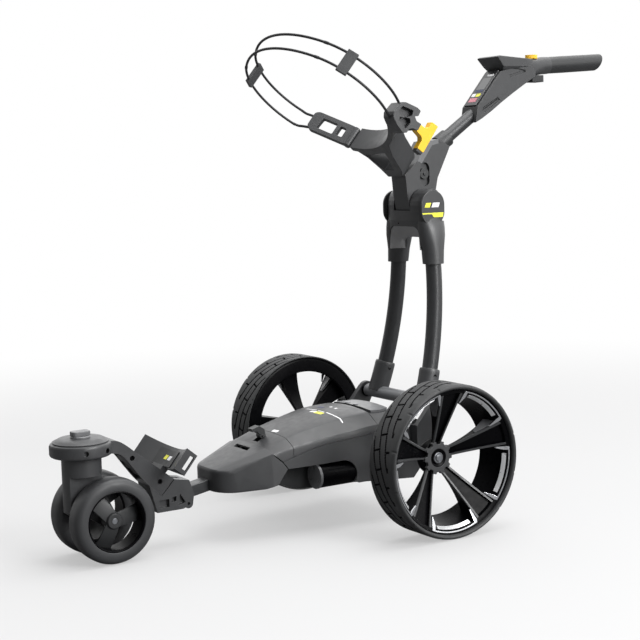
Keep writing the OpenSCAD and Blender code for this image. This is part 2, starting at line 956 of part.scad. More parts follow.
module strap_buckle() {
    color("#343537") bag_frame() difference() {
        union() {
            translate([hinge_x, -hinge_s, 632]) cylinder(r = 8.5, h = 50);
            translate([hinge_x, -hinge_s, 632]) rotate([0, 0, 217 - 0.5]) translate([6, -6, 0])
                cube([97, 12, 50]);
            translate([0, 0, 625]) linear_extrude(52)
                polygon([[-150, -562], [-145, -572], [-182, -602], [-193, -592]]);
        }
        translate([hinge_x, -hinge_s, 644]) rotate([0, 0, 216.5]) translate([20, -8, 0])
            cube([18, 16, 26]);
        translate([hinge_x, -hinge_s, 642]) rotate([0, 0, 216.5]) translate([46, -8, 0])
            cube([40, 16, 30]);
        for (h = cord_heights) one_cord(h);
    }
}

body_shell();
nose_cover();
belly_pan();
rear_cover();
battery_pack();
controller_box();
motors();
motor_plates();
gearboxes();
axle_bearings();
drawbar();
front_bracket();
front_arm_shells();
arm_screws();
caster_head();
lower_bag_support();
bag_support_pad();
caster_fork();
caster_axle();
caster_tyre_left();
caster_rim_left();
caster_tyre_right();
caster_rim_right();
caster_lock_knob();
tyre_left();
rim_left();
rim_trim_left();
hub_left();
axle_left();
tyre_right();
rim_right();
rim_trim_right();
hub_right();
axle_right();
battery_lid();
fold_catch();
stem_barrel();
stem_tubes();
lower_collars();
stem_yoke();
yoke_front_cover();
hinge_caps();
stem_fasteners();
neck_shell();
knuckle_cover();
handle_collar();
handle_tube();
pod_housing();
pod_front_panel();
screen_glass();
grip();
bag_cradle();
accessory_socket();
fold_lock_button();
speed_dial();
toggle_handle();
strap_cords();
strap_tabs();
strap_clip();
strap_buckle();
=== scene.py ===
"""The looks of an electric golf trolley, built around its CAD frame.

Shapes are drawn in millimetres in the axle frame: x to the trolley's left, y backwards from
the rear axle, z up from the ground. TO_FRAME turns that into the frame's metres.
"""
import json
import math

import bmesh
import bpy
from mathutils import Matrix, Vector


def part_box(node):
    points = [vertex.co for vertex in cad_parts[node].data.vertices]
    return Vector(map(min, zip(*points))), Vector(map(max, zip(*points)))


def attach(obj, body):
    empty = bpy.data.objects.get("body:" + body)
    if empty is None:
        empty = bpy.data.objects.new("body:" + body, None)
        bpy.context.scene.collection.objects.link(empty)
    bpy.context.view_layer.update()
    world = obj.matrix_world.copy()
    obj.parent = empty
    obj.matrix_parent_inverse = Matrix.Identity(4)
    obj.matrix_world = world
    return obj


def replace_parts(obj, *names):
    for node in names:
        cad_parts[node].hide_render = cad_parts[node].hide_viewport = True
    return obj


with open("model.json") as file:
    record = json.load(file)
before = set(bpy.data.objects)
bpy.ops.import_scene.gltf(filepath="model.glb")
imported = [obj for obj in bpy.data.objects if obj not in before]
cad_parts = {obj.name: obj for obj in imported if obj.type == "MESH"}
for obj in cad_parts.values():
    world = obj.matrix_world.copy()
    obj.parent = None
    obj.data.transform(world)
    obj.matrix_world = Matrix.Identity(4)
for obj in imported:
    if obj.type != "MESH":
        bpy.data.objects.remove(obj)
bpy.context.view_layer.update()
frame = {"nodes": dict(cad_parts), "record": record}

# ---------- places taken from the frame ----------

MM = 0.001
axle_low, axle_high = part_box("axle_left")
tyre_low, tyre_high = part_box("tyre_left")
AXLE_SHIFT = (axle_low.y + axle_high.y) / 2
WHEEL_R = tyre_high.z / 2 / MM
WHEEL_X = (tyre_low.x + tyre_high.x) / 2 / MM
TO_FRAME = Matrix.Translation((0, AXLE_SHIFT, 0)) @ Matrix.Scale(MM, 4)
HERE = Matrix.Identity(4)
# The golf bag's cross-section leans forward; its points are (x, -s, h)
BAG = Matrix.Rotation(math.radians(-40), 4, "X")

slot_of = {part["node"]: part["material_slot"] for part in frame["record"]["subparts"]}
body_of = {node: body for body, nodes in frame["record"]["behaviour"]["bodies"].items()
           for node in nodes}


def at(x, y, z):
    """A point of the axle frame, in the frame's metres."""
    return TO_FRAME @ Vector((x, y, z))


# ---------- materials ----------

def node_tree(name):
    material = bpy.data.materials.new(name)
    material.use_nodes = True
    tree = material.node_tree
    tree.nodes.clear()
    return material, tree


def add(tree, kind, inputs=None, **settings):
    """A new shader node; each input takes a value or the (node, output) that feeds it."""
    node = tree.nodes.new("ShaderNode" + kind)
    for key, value in settings.items():
        setattr(node, key, value)
    for key, value in (inputs or {}).items():
        if isinstance(value, tuple) and isinstance(value[0], bpy.types.Node):
            tree.links.new(value[0].outputs[value[1]], node.inputs[key])
        else:
            node.inputs[key].default_value = value
    return node


def noise(tree, coords, scale, detail=2.0):
    """A noise texture read at the object's own coordinates."""
    return add(tree, "TexNoise", {"Scale": scale, "Detail": detail, "Vector": (coords, "Object")})


def worn_and_lit_edge_mask(tree):
    """Near 1 along outer edges, 0 on flat faces; it lightens the colour there as edge wear and
    painted highlight together.
    """
    edge_bevel = add(tree, "Bevel", {"Radius": 1.2 * MM}, samples=4)
    dot = add(tree, "VectorMath", {0: (edge_bevel, "Normal"), 1: (add(tree, "NewGeometry"), "Normal")},
              operation="DOT_PRODUCT")
    return add(tree, "MapRange", {"From Min": 1.0, "From Max": 0.8, "Value": (dot, "Value")})


def tint(colour, scale=1.0, shift=0.0):
    return (*[min(1, c * scale + shift) for c in colour], 1)


def surface(name, colour, rough, metal=0.0, coat=0.0, grain=0.5, depth=0.12, cloud=0.1, edge=0.0,
            weave=None, shine=0.5):
    """A moulded, painted or machined finish; grain is in millimetres, depth in tenths of one."""
    material, tree = node_tree(name)
    coords = add(tree, "TexCoord")
    paint = add(tree, "Mix", {
        "A": tint(colour, 1 - cloud), "B": tint(colour, 1 + cloud),
        "Factor": (noise(tree, coords, 22.0, 4.0), "Fac")}, data_type="RGBA")
    # Along outer edges the colour is lightened by edge: partly edge wear, partly a painted
    # highlight.
    if edge:
        paint = add(tree, "Mix", {
            "A": (paint, "Result"), "B": tint(colour, shift=edge),
            "Factor": (worn_and_lit_edge_mask(tree), "Result")}, data_type="RGBA")
    smear = add(tree, "MapRange", {
        "From Min": 0.3, "From Max": 0.7, "To Min": rough - 0.05, "To Max": rough + 0.06,
        "Value": (noise(tree, coords, 70.0), "Fac")})
    if weave:
        pattern = add(tree, "TexWave", {
            "Scale": weave, "Distortion": 1.5, "Vector": (coords, "Object")},
            wave_type="BANDS", bands_direction="DIAGONAL")
    else:
        pattern = noise(tree, coords, 1 / (grain * MM), 3.0)
    bump = add(tree, "Bump", {
        "Strength": 0.5, "Distance": depth * MM * 0.1, "Height": (pattern, "Fac")})
    shader = add(tree, "BsdfPrincipled", {
        "Base Color": (paint, "Result"), "Roughness": (smear, "Result"),
        "Normal": (bump, "Normal"), "Metallic": metal, "Specular IOR Level": shine,
        "Coat Weight": coat, "Coat Roughness": 0.08})
    add(tree, "OutputMaterial", {"Surface": (shader, "BSDF")})
    return material


# The edge values lighten the plastics along their outer edges: partly wear, partly painted
# highlight.
FINISHES = {
    "charcoal_plastic": dict(colour=(0.040, 0.041, 0.043), rough=0.40, edge=0.03, depth=0.15),
    "dark_plastic": dict(colour=(0.020, 0.021, 0.022), rough=0.44, edge=0.02, depth=0.15),
    "grey_plastic": dict(colour=(0.125, 0.127, 0.132), rough=0.38, edge=0.04, depth=0.4),
    "gloss_black": dict(colour=(0.002, 0.002, 0.0025), rough=0.3, shine=0.06, depth=0.05),
    "label_black": dict(colour=(0.010, 0.010, 0.012), rough=0.25, coat=0.3, depth=0.1),
    "tyre_rubber": dict(colour=(0.027, 0.028, 0.029), rough=0.60, grain=0.8, depth=1.2, cloud=0.16),
    "caster_rubber": dict(colour=(0.032, 0.033, 0.035), rough=0.5, grain=0.7, depth=0.9,
                          cloud=0.12),
    "chrome_trim": dict(colour=(0.66, 0.67, 0.69), rough=0.16, metal=1.0, depth=0.05, cloud=0.04),
    "dark_tube": dict(colour=(0.034, 0.035, 0.037), rough=0.34, grain=0.3, depth=0.4, metal=0.2),
    "light_casting": dict(colour=(0.22, 0.225, 0.235), rough=0.40, metal=0.3, depth=0.5),
    "steel": dict(colour=(0.30, 0.31, 0.33), rough=0.32, metal=1.0, grain=0.2, depth=0.3),
    "yellow_plastic": dict(colour=(0.86, 0.50, 0.012), rough=0.38, edge=0.04, depth=0.3,
                           cloud=0.05),
    "cord_rubber": dict(colour=(0.010, 0.010, 0.012), rough=0.55, weave=520.0, depth=1.5),
    "circuit_case": dict(colour=(0.03, 0.12, 0.07), rough=0.5, depth=0.4),
    "battery_case": dict(colour=(0.02, 0.022, 0.026), rough=0.5, depth=0.5),
    "screen_glass": dict(colour=(0.008, 0.010, 0.013), rough=0.08, coat=1.0, depth=0.02),
    "bright_band": dict(colour=(0.86, 0.87, 0.88), rough=0.32, metal=0.7, depth=0.05, cloud=0.03),
    # The liner's finish is light grey plastic made brighter still: painted light under the knee.
    "lit_pale_liner": dict(colour=(0.34, 0.34, 0.345), rough=0.5),
    # The next finish is painted shade: a darker rubber laid in the tread's grooves.
    "groove_shade_rubber": dict(colour=(0.006, 0.006, 0.007), rough=0.8, depth=0.5, shine=0.1),
    "white_print": dict(colour=(0.85, 0.85, 0.86), rough=0.4, depth=0.1, cloud=0.03),
    "yellow_print": dict(colour=(0.80, 0.78, 0.06), rough=0.4, depth=0.1, cloud=0.04),
    "rose_print": dict(colour=(0.62, 0.22, 0.27), rough=0.45, depth=0.1, cloud=0.08),
    "navy_print": dict(colour=(0.02, 0.03, 0.10), rough=0.35, depth=0.1, cloud=0.05),
}
finish = {name: surface(name, **values) for name, values in FINISHES.items()}


# ---------- drawing helpers: outlines, and meshes in millimetres ----------

def prism(outline, low, high, axis="x"):
    """An outline made solid between two planes: (y, z) along x, (x, z) along y, (x, y) along z."""
    place = {
        "x": lambda p, h: (h, p[0], p[1]),
        "y": lambda p, h: (p[0], h, p[1]),
        "z": lambda p, h: (p[0], p[1], h),
    }[axis]
    bm = bmesh.new()
    ends = [[bm.verts.new(place(p, h)) for p in outline] for h in (low, high)]
    count = len(outline)
    for ring in ends:
        bm.faces.new(ring)
    for i in range(count):
        k = (i + 1) % count
        bm.faces.new((ends[0][i], ends[0][k], ends[1][k], ends[1][i]))
    return bm


def block(low, high):
    return prism([(low[0], low[1]), (high[0], low[1]), (high[0], high[1]), (low[0], high[1])],
                 low[2], high[2], "z")


def sided(side, near, far):
    """Two distances from the middle as x values on one side, the lower first."""
    return sorted((side * near, side * far))


def skin(rings, close_ends=True):
    """Faces between rings of equally many points."""
    bm = bmesh.new()
    loops = [[bm.verts.new(p) for p in ring] for ring in rings]
    count = len(rings[0])
    for a, b in zip(loops, loops[1:]):
        for i in range(count):
            k = (i + 1) % count
            bm.faces.new((a[i], a[k], b[k], b[i]))
    if close_ends:
        bm.faces.new(loops[0])
        bm.faces.new(loops[-1])
    return bm


def turned(profile, steps=96, axis="x"):
    """A closed (radius, height) profile turned about an axis; radius 0 points merge."""
    place = {
        "x": lambda r, h, c, s: (h, r * c, r * s),
        "y": lambda r, h, c, s: (r * c, h, r * s),
        "z": lambda r, h, c, s: (r * c, r * s, h),
    }[axis]
    rings = []
    for i in range(steps):
        turn = 2 * math.pi * i / steps
        rings.append([place(r, h, math.cos(turn), math.sin(turn)) for r, h in profile])
    bm = skin(rings + rings[:1], close_ends=False)
    bmesh.ops.remove_doubles(bm, verts=bm.verts, dist=0.001)
    return bm


def rod(radius, low, high, axis="x", steps=48, chamfer=0.0):
    """A round bar with chamfered ends."""
    c = chamfer
    if c:
        profile = [(0, low), (radius - c, low), (radius, low + c), (radius, high - c),
                   (radius - c, high), (0, high)]
    else:
        profile = [(0, low), (radius, low), (radius, high), (0, high)]
    return turned(profile, steps, axis)


def moved(bm, x=0, y=0, z=0):
    bmesh.ops.translate(bm, verts=bm.verts, vec=(x, y, z))
    return bm


def placed(bm, matrix):
    bmesh.ops.transform(bm, verts=bm.verts, matrix=matrix)
    return bm


def joined(*parts):
    """Several meshes in one, without fusing them."""
    whole = bmesh.new()
    for part in parts:
        mesh = bpy.data.meshes.new("part")
        part.to_mesh(mesh)
        part.free()
        whole.from_mesh(mesh)
        bpy.data.meshes.remove(mesh)
    return whole


def swept(path, radii, steps=40):
    """A round section carried along a path without twisting; one radius, or one per point."""
    path = [Vector(p) for p in path]
    if not isinstance(radii, (list, tuple)):
        radii = [radii] * len(path)
    tangents = []
    for i in range(len(path)):
        tangents.append((path[min(i + 1, len(path) - 1)] - path[max(i - 1, 0)]).normalized())
    side = tangents[0].orthogonal().normalized()
    rings = []
    for point, tangent, radius in zip(path, tangents, radii):
        side = (side - tangent * side.dot(tangent)).normalized()
        other = tangent.cross(side)
        rings.append([point + (side * math.cos(a) + other * math.sin(a)) * radius
                      for a in (2 * math.pi * k / steps for k in range(steps))])
    return skin(rings)


def wrapped(points):
    """The convex hull of some points."""
    bm = bmesh.new()
    for p in points:
        bm.verts.new(p)
    result = bmesh.ops.convex_hull(bm, input=bm.verts)
    inside = [v for v in set(result["geom_interior"] + result["geom_unused"])
              if isinstance(v, bmesh.types.BMVert)]
    bmesh.ops.delete(bm, geom=inside, context="VERTS")
    bmesh.ops.dissolve_limit(bm, angle_limit=math.radians(0.5), verts=bm.verts, edges=bm.edges)
    return bm


def arc(cx, cy, radius, start, end, steps=12):
    """Points of an arc in degrees."""
    return [(cx + radius * math.cos(math.radians(start + (end - start) * i / steps)),
             cy + radius * math.sin(math.radians(start + (end - start) * i / steps)))
            for i in range(steps + 1)]


def stadium(cx, low, high, radius):
    """A rounded slot outline standing between two centre heights."""
    return arc(cx, high, radius, 0, 180, 24) + arc(cx, low, radius, 180, 360, 24)


def toothed(teeth, root, tip, flat):
    """A toothed circle; flat is half the share of a tooth's pitch that lies at its tip."""
    points = []
    for k in range(teeth):
        for radius, share in ((root, -0.3), (tip, -flat), (tip, flat), (root, 0.3)):
            turn = 2 * math.pi * (k + share) / teeth
            points.append((radius * math.cos(turn), radius * math.sin(turn)))
    return points


def rounded(outline, radius):
    """The outline with each corner replaced by a small curve."""
    points = []
    count = len(outline)
    for i in range(count):
        here = Vector(outline[i])
        before, after = Vector(outline[i - 1]) - here, Vector(outline[(i + 1) % count]) - here
        reach = min(radius, before.length * 0.45, after.length * 0.45)
        a, b = here + before.normalized() * reach, here + after.normalized() * reach
        for k in range(5):
            t = k / 4
            p = a * (1 - t) ** 2 + here * 2 * t * (1 - t) + b * t ** 2
            points.append((p.x, p.y))
    return points


def curve_through(points, steps=8):
    """A smooth (Catmull-Rom) run through a list of equal-length tuples."""
    ends = [points[0]] + list(points) + [points[-1]]
    run = []
    for i in range(1, len(ends) - 2):
        for k in range(steps):
            t = k / steps
            row = []
            for p0, p1, p2, p3 in zip(ends[i - 1], ends[i], ends[i + 1], ends[i + 2]):
                row.append(0.5 * (2 * p1 + (p2 - p0) * t + (2 * p0 - 5 * p1 + 4 * p2 - p3) * t * t
                                  + (3 * p1 - p0 - 3 * p2 + p3) * t ** 3))
            run.append(tuple(row))
    run.append(tuple(points[-1]))
    return run


# ---------- making pieces ----------

def new_object(name, data):
    obj = bpy.data.objects.new(name, data)
    bpy.context.scene.collection.objects.link(obj)
    return obj


def to_mesh(name, bm):
    mesh = bpy.data.meshes.new(name)
    bm.to_mesh(mesh)
    bm.free()
    return mesh


def to_object(name, bm, place=HERE):
    bmesh.ops.recalc_face_normals(bm, faces=bm.faces)
    mesh = to_mesh(name, bm)
    mesh.transform(TO_FRAME @ place)
    if place.determinant() < 0:
        mesh.flip_normals()
    return new_object(name, mesh)


def bake(obj):
    """The object's modifiers made part of its mesh."""
    graph = bpy.context.evaluated_depsgraph_get()
    mesh = bpy.data.meshes.new_from_object(obj.evaluated_get(graph))
    obj.modifiers.clear()
    old = obj.data
    obj.data = mesh
    bpy.data.meshes.remove(old)


def combine(obj, bm, operation="DIFFERENCE", place=HERE):
    """The object cut by, joined with or kept inside another mesh."""
    tool = to_object("tool", bm, place)
    modifier = obj.modifiers.new("combine", "BOOLEAN")
    modifier.object = tool
    modifier.operation = operation
    modifier.solver = "EXACT"
    bake(obj)
    bpy.data.objects.remove(tool)


BEVELLED_ANGLE = 28
SHARP_ANGLE = 38


def soften(obj, width, steps=2):
    """Edges rounded by a small radius, with normals that keep the faces flat."""
    if width:
        bevel = obj.modifiers.new("bevel", "BEVEL")
        bevel.width = width * MM
        bevel.segments = steps
        bevel.limit_method = "ANGLE"
        bevel.angle_limit = math.radians(BEVELLED_ANGLE)
        bake(obj)
    obj.data.polygons.foreach_set("use_smooth", [True] * len(obj.data.polygons))
    obj.data.set_sharp_from_angle(angle=math.radians(SHARP_ANGLE))
    normals = obj.modifiers.new("normals", "WEIGHTED_NORMAL")
    normals.keep_sharp = True
    bake(obj)
    return obj


def dress(obj, node, slot=None, paint=None):
    """The object takes its finish and rides on a CAD node's body."""
    slot = slot or slot_of[node]
    obj.data.materials.clear()
    obj.data.materials.append(finish[paint or slot])
    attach(obj, body_of[node])
    return obj


def detail(node, tag, bm, slot=None, paint=None, place=HERE, bevel=0.8, steps=2, keep=None,
           cuts=()):
    """A piece beside a CAD node: a mesh kept inside one shape, cut by others and rounded."""
    obj = to_object(node + "_" + tag, bm, place)
    if keep is not None:
        combine(obj, keep, "INTERSECT", place)
    for cut in cuts:
        combine(obj, cut, place=place)
    if bevel is not None:
        soften(obj, bevel, steps)
    return dress(obj, node, slot, paint)


def stand_in(node, tag, bm, *looks, **options):
    """A piece that takes a CAD node's place."""
    obj = detail(node, tag, bm, *looks, **options)
    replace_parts(obj, node)
    return obj


def refined(node, bevel, paint):
    """A CAD node's own shape as a new piece with merged faces and rounded edges."""
    bm = bmesh.new()
    bm.from_mesh(frame["nodes"][node].data)
    bmesh.ops.remove_doubles(bm, verts=bm.verts, dist=2e-5)
    bmesh.ops.dissolve_limit(bm, angle_limit=math.radians(0.5), verts=bm.verts, edges=bm.edges)
    name = node + "_look"
    obj = soften(new_object(name, to_mesh(name, bm)), bevel)
    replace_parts(dress(obj, node, paint=paint), node)


# ---------- rear wheels ----------

SPOKES = 5
SPOKE_STEP = 360 / SPOKES
SPOKE_TURN = {"left": 18, "right": 33}
HUB_X, RIM_X = -24.0, 33.5
SPOKE_FOOT, SPOKE_TIP = 26.0, 142.0
STATIONS = 16


def wheel_place(side, x, y, z):
    """Where a wheel drawn at the origin goes, mirrored on the right."""
    out = 1 if side == "left" else -1
    return Matrix.Translation((out * x, y, z)) @ Matrix.Diagonal((out, 1, 1, 1))


def along_spoke(radius):
    """How far along a spoke a radius lies, 0 at the hub and 1 at the rim."""
    return (radius - SPOKE_FOOT) / (SPOKE_TIP - SPOKE_FOOT)


def dish(radius):
    """How far out the wheel's face stands at a radius."""
    return HUB_X + (RIM_X - HUB_X) * along_spoke(radius)


def spoke_half(radius):
    return 10 + 17 * along_spoke(radius) ** 1.2


def polar(radius, degrees, x=0.0):
    turn = math.radians(degrees)
    return (x, radius * math.cos(turn), radius * math.sin(turn))


TREAD_PERIODS = 14
TREAD_STEPS = 900
TREAD_BAND = 19.5
TREAD_DEPTH = 3.6
TREAD_FLOOR = 155
TREAD_HALF = 33
NOTCHES = 12
NOTCH_SPACING = 84
NOTCH_DEPTH = 1.8


def groove(distance, half_width=1.3, ramp=0.6):
    """1 inside a groove, falling to 0 outside it."""
    return max(0.0, min(1.0, (half_width + ramp - abs(distance)) / ramp))


def tread_sweep(phase):
    """How far a long groove has crept across the tyre at a share of one period."""
    return TREAD_BAND * (phase + 0.18 * math.sin(2 * math.pi * phase) / (2 * math.pi))


def tread_cut(turn, x):
    """How deep the tread is cut at a share of a turn and a place across the tyre."""
    phase = (turn * TREAD_PERIODS) % 1.0
    period_mm = 2 * math.pi * WHEEL_R / TREAD_PERIODS
    depth = 0.0
    for k in range(5):
        line = -55 + TREAD_BAND * k + tread_sweep(phase)
        if -33 < line < 25:
            depth = max(depth, groove(x - line))
    for k in range(5):
        low = -55 + TREAD_BAND * k
        offset = 0.05 if k % 2 == 0 else 0.55
        along = ((phase - offset + 0.5) % 1.0 - 0.5) * period_mm + (x - low) * 0.3
        start = low + tread_sweep(offset)
        if start - 1 < x < min(start + TREAD_BAND, 24):
            depth = max(depth, groove(along))
    return depth


def tyre_mesh():
    """The tyre with its tread cut in: fine steps across the tread, coarse ones down the sides."""
    rows = [(147.5, -27), (154.8, -27), (155, -34.4), (157.6, -38.7), (159.2, -38.8), (160, -36.6)]
    rows += [(160, -35 + 1.2 * i) for i in range(49)]
    rows += [(160, 27), (160, 34), (159.8, 38), (159.0, 41.5), (157.6, 44), (155.6, 45.2),
             (153.2, 45), (151.2, 43.2), (150, 40), (149.6, 34), (149.4, 27), (147.5, 27)]
    rings = []
    for i in range(TREAD_STEPS):
        turn = i / TREAD_STEPS
        notch = groove(((turn * NOTCHES) % 1.0 - 0.5) * NOTCH_SPACING, 1.4, 0.8)
        ring = []
        for radius, x in rows:
            cut = 0.0
            if -36 < x < 23 and radius > 159.9:
                cut = TREAD_DEPTH * tread_cut(turn, x)
            elif x > 35 and radius > 156:
                cut = NOTCH_DEPTH * notch
            ring.append(polar(radius - cut, 360 * turn, x))
        rings.append(ring)
    return skin(rings + rings[:1], close_ends=False)


def paint_groove_shade(tyre):
    """The floors and walls of the tread's grooves take a darker rubber: painted shade in the
    grooves.
    """
    tyre.data.materials.append(finish["groove_shade_rubber"])
    centre = at(0, 0, WHEEL_R)
    for face in tyre.data.polygons:
        radius = math.hypot(face.center.y - centre.y, face.center.z - centre.z) / MM
        out = abs(face.center.x / MM) - WHEEL_X
        if TREAD_FLOOR < radius < WHEEL_R - 0.9 and abs(out) < TREAD_HALF:
            face.material_index = 1


def rim_mesh():
    """The barrel, narrower at its back, and its sloping outer lip."""
    return turned([
        (124, -36), (127, -38.2), (150, -37), (154, -35), (154, -27.4), (147, -27.4), (147, 27.4),
        (149.2, 27.4), (149.2, RIM_X + 4), (148.4, RIM_X + 4.6), (147, RIM_X + 2),
        (141.6, RIM_X - 0.4), (140.6, RIM_X - 2), (137.8, 14), (126, -30)
    ], 192)


def spoke_section(u):
    """One spoke's outline across its run: two raised ribs with a sunk panel between them."""
    share = along_spoke(u)
    half = spoke_half(u)
    face = dish(u)
    back = max(face - 9 - 44 * share ** 1.7, -33)
    rib = 3.8 + 0.8 * share
    return [(u, v, x) for v, x in [
        (-half, face - 1.2), (-half + 1.0, face), (-half + rib, face),
        (-half + rib + 1.4, face - 7), (half - rib - 1.4, face - 7),
        (half - rib, face), (half - 1.0, face), (half, face - 1.2),
        (half * (0.9 + 0.16 * share ** 3), back), (-half * (0.9 + 0.16 * share ** 3), back)
    ]]


def run_of(low, high):
    return [low + (high - low) * i / STATIONS for i in range(STATIONS + 1)]


def each_spoke(turn, rings):
    """Rings of (along, across, out) points made into one shape on every spoke."""
    parts = []
    for k in range(SPOKES):
        bm = skin([[(x, u, v) for u, v, x in ring] for ring in rings])
        parts.append(placed(bm, Matrix.Rotation(math.radians(turn + k * SPOKE_STEP), 4, "X")))
    return joined(*parts)


def spoke_mesh(turn):
    return each_spoke(turn, [spoke_section(u) for u in run_of(SPOKE_FOOT, SPOKE_TIP)])


def rib_caps(turn, side):
    """Thin satin strips on the ribs' faces."""
    rings = []
    for u in run_of(SPOKE_FOOT + 6, SPOKE_TIP - 3):
        half, face = spoke_half(u), dish(u)
        rib = 3.8 + 0.8 * along_spoke(u)
        rings.append([(u, side * v, x) for v, x in [
            (half + 0.3, face - 3.5), (half + 0.3, face - 0.8), (half - 0.8, face + 0.5),
            (half - rib, face + 0.5), (half - rib - 0.6, face - 1.5), (half - 2, face - 3.5)
        ]])
    return each_spoke(turn, rings)


def flank_plates(turn):
    """Flat plates that widen each spoke's leading flank next to the barrel."""
    rings = []
    for u in run_of(92, 136):
        share = (u - 92) / 44
        half = spoke_half(u)
        front = dish(u) - 6
        back = front - 8 - 26 * share
        rings.append([(u, v, x) for v, x in [
            (half - 2, front), (half + 1.2, front - 1), (half + 3 + 5 * share, back),
            (half - 2, back)
        ]])
    return each_spoke(turn, rings)


def trim_frame(turn):
    """A thin chrome band round the outer end of each window, with legs along the spokes."""
    parts = []
    for k in range(SPOKES):
        middle = turn + (k + 0.5) * SPOKE_STEP
        half, leg_half = 24.0, 24.6
        outer = [(119, -leg_half, dish(119)), (141, -half, RIM_X)]
        outer += [(146.6, -half + 1 + 2 * (half - 1) * i / 24, RIM_X + 1.7) for i in range(25)]
        outer += [(141, half, RIM_X), (119, leg_half, dish(119))]
        inner = [(120, leg_half - 1.4, dish(120)), (134, half - 3.0, RIM_X - 2.3)]
        inner += [(143.6, half - 3.4 - (2 * half - 6.8) * i / 20, RIM_X + 1.0) for i in range(21)]
        inner += [(134, -half + 3.0, RIM_X - 2.3), (120, -leg_half + 1.4, dish(120))]
        rings = []
        for lift in (-3.0, 1.0):
            rings.append([polar(r, middle + a, x + lift) for r, a, x in outer + inner])
        parts.append(skin(rings))
    return joined(*parts)


def trim_band(turn):
    """The bright sloping band inside each chrome frame."""
    parts = []
    for k in range(SPOKES):
        middle = turn + (k + 0.5) * SPOKE_STEP
        rings = []
        for i in range(25):
            a = middle - 17.5 + 35 * i / 24
            rings.append([polar(radius, a, RIM_X - sunk) for radius, sunk in (
                (140.0, 1.5), (134.2, 9), (137.5, 12), (141.5, 3))])
        parts.append(skin(rings))
    return joined(*parts)


def build_rear_wheel(side):
    place = wheel_place(side, WHEEL_X, 0, WHEEL_R)
    turn = SPOKE_TURN[side]
    rim, hub, axle = "rim_" + side, "hub_" + side, "axle_" + side
    paint_groove_shade(stand_in("tyre_" + side, "tread", tyre_mesh(), place=place, bevel=0))
    stand_in(rim, "barrel", rim_mesh(), place=place, bevel=0)
    detail(rim, "spokes", spoke_mesh(turn), place=place, bevel=0)
    for n, rib in enumerate((-1, 1), 1):
        detail(rim, "ribs_%d" % n, rib_caps(turn, rib), "charcoal_plastic", place=place, bevel=0)
    detail(rim, "flanks", flank_plates(turn), "grey_plastic", place=place, bevel=0)
    frames = detail(rim, "trim_frames", trim_frame(turn), "chrome_trim", place=place, bevel=0.6)
    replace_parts(frames, "rim_trim_" + side)
    detail(rim, "trim_bands", trim_band(turn), "chrome_trim", "bright_band", place=place, bevel=0.5)
    core = turned([(9, -44), (36, -44), (37, -38), (33, -27), (9, -25)], 96)
    detail(rim, "core", core, place=place, bevel=0.6)
    star = prism(toothed(10, 29, 35, 0.20), -25.5, -17)
    stand_in(hub, "star", star, "charcoal_plastic", place=place, cuts=[rod(19.5, -22, 0)])
    socket = turned([(12, -25), (19.4, -25), (19.4, -19), (18.4, -18.6), (12, -21.6)], 64)
    detail(hub, "socket", socket, "gloss_black", place=place, bevel=0.3)
    nut = joined(turned([(8.2, -24), (12, -24), (12, -18), (10.8, -16.6), (8.2, -16.6)], 64),
                 rod(7.8, -26, -14.2, chamfer=1.2))
    stand_in(axle, "end", nut, place=place, bevel=0.4)
    detail(axle, "shaft", rod(8, 92 - WHEEL_X, -40, chamfer=0.5), place=place, bevel=0)


for wheel_side in ("left", "right"):
    build_rear_wheel(wheel_side)

# ---------- front caster wheels ----------

CASTER_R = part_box("caster_tyre_left")[1].z / 2 / MM
CASTER_X = 47.0
CASTER_Y = -638.0


def caster_tyre():
    shoulder = [(61, -21.5), (66, -23.4), (74, -24.2), (79.5, -22.4), (83.6, -18.5), (85.6, -12.5),
                (86, -5), (86, 5), (85.6, 12.5), (83.6, 18.5), (79.5, 22.6), (74, 24.8), (66, 25),
                (61.8, 24.4), (61, 23.4)]
    return turned(shoulder, 128)


def paddle(turn):
    """One wide curved spoke of a caster wheel."""
    rings = []
    for i in range(11):
        share = i / 10
        u = 8 + 51.5 * share
        half = 15 + 3 * share
        out = 9 - 14 * share ** 1.6
        rings.append([(out + x, u, v) for x, v in (
            (-3.2, -half), (0, -half + 1), (1.4, 0), (0, half - 1), (-3.2, half), (-3.4, 0))])
    return placed(skin(rings), Matrix.Rotation(math.radians(turn), 4, "X"))


def build_caster_wheel(side, turn):
    place = wheel_place(side, CASTER_X, CASTER_Y, CASTER_R)
    rim = "caster_rim_" + side
    stand_in("caster_tyre_" + side, "tread", caster_tyre(), place=place, bevel=0)
    barrel = turned([(56.5, -21), (61, -21), (61, 23), (59.6, 23.6), (57.5, 22), (56.5, 18)], 96)
    stand_in(rim, "barrel", barrel, "gloss_black", place=place, bevel=0)
    spokes = joined(*[paddle(turn + 120 * k) for k in range(3)])
    detail(rim, "paddles", spokes, place=place)
    hub = turned([(6.2, -21), (16, -21), (17, -18), (17, 10), (14.5, 13.5), (6.2, 13.5)], 64)
    detail(rim, "hub", hub, place=place, bevel=0.6)


build_caster_wheel("left", 8)
build_caster_wheel("right", 40)

# ---------- battery body ----------

# y, top half width, top height, edge half width, edge height, side half width, foot height, crown
BODY_RINGS = curve_through([
    (-300, 73, 180, 90, 176, 96, 108, 2),
    (-247, 68, 203, 98, 188, 103, 104, 4),
    (-181, 77, 219, 106, 198, 113, 96, 7),
    (-115, 84, 231, 113, 205, 122, 88, 8),
    (-46, 80, 236, 118, 213, 127, 86, 6),
    (78, 78, 236, 118, 213, 127, 86, 5),
], 10)


def body_row(y):
    """The body's cross-section values at y."""
    for a, b in zip(BODY_RINGS, BODY_RINGS[1:]):
        if y <= b[0]:
            break
    share = min(max((y - a[0]) / (b[0] - a[0]), 0), 1)
    return [p + (q - p) * share for p, q in zip(a, b)]


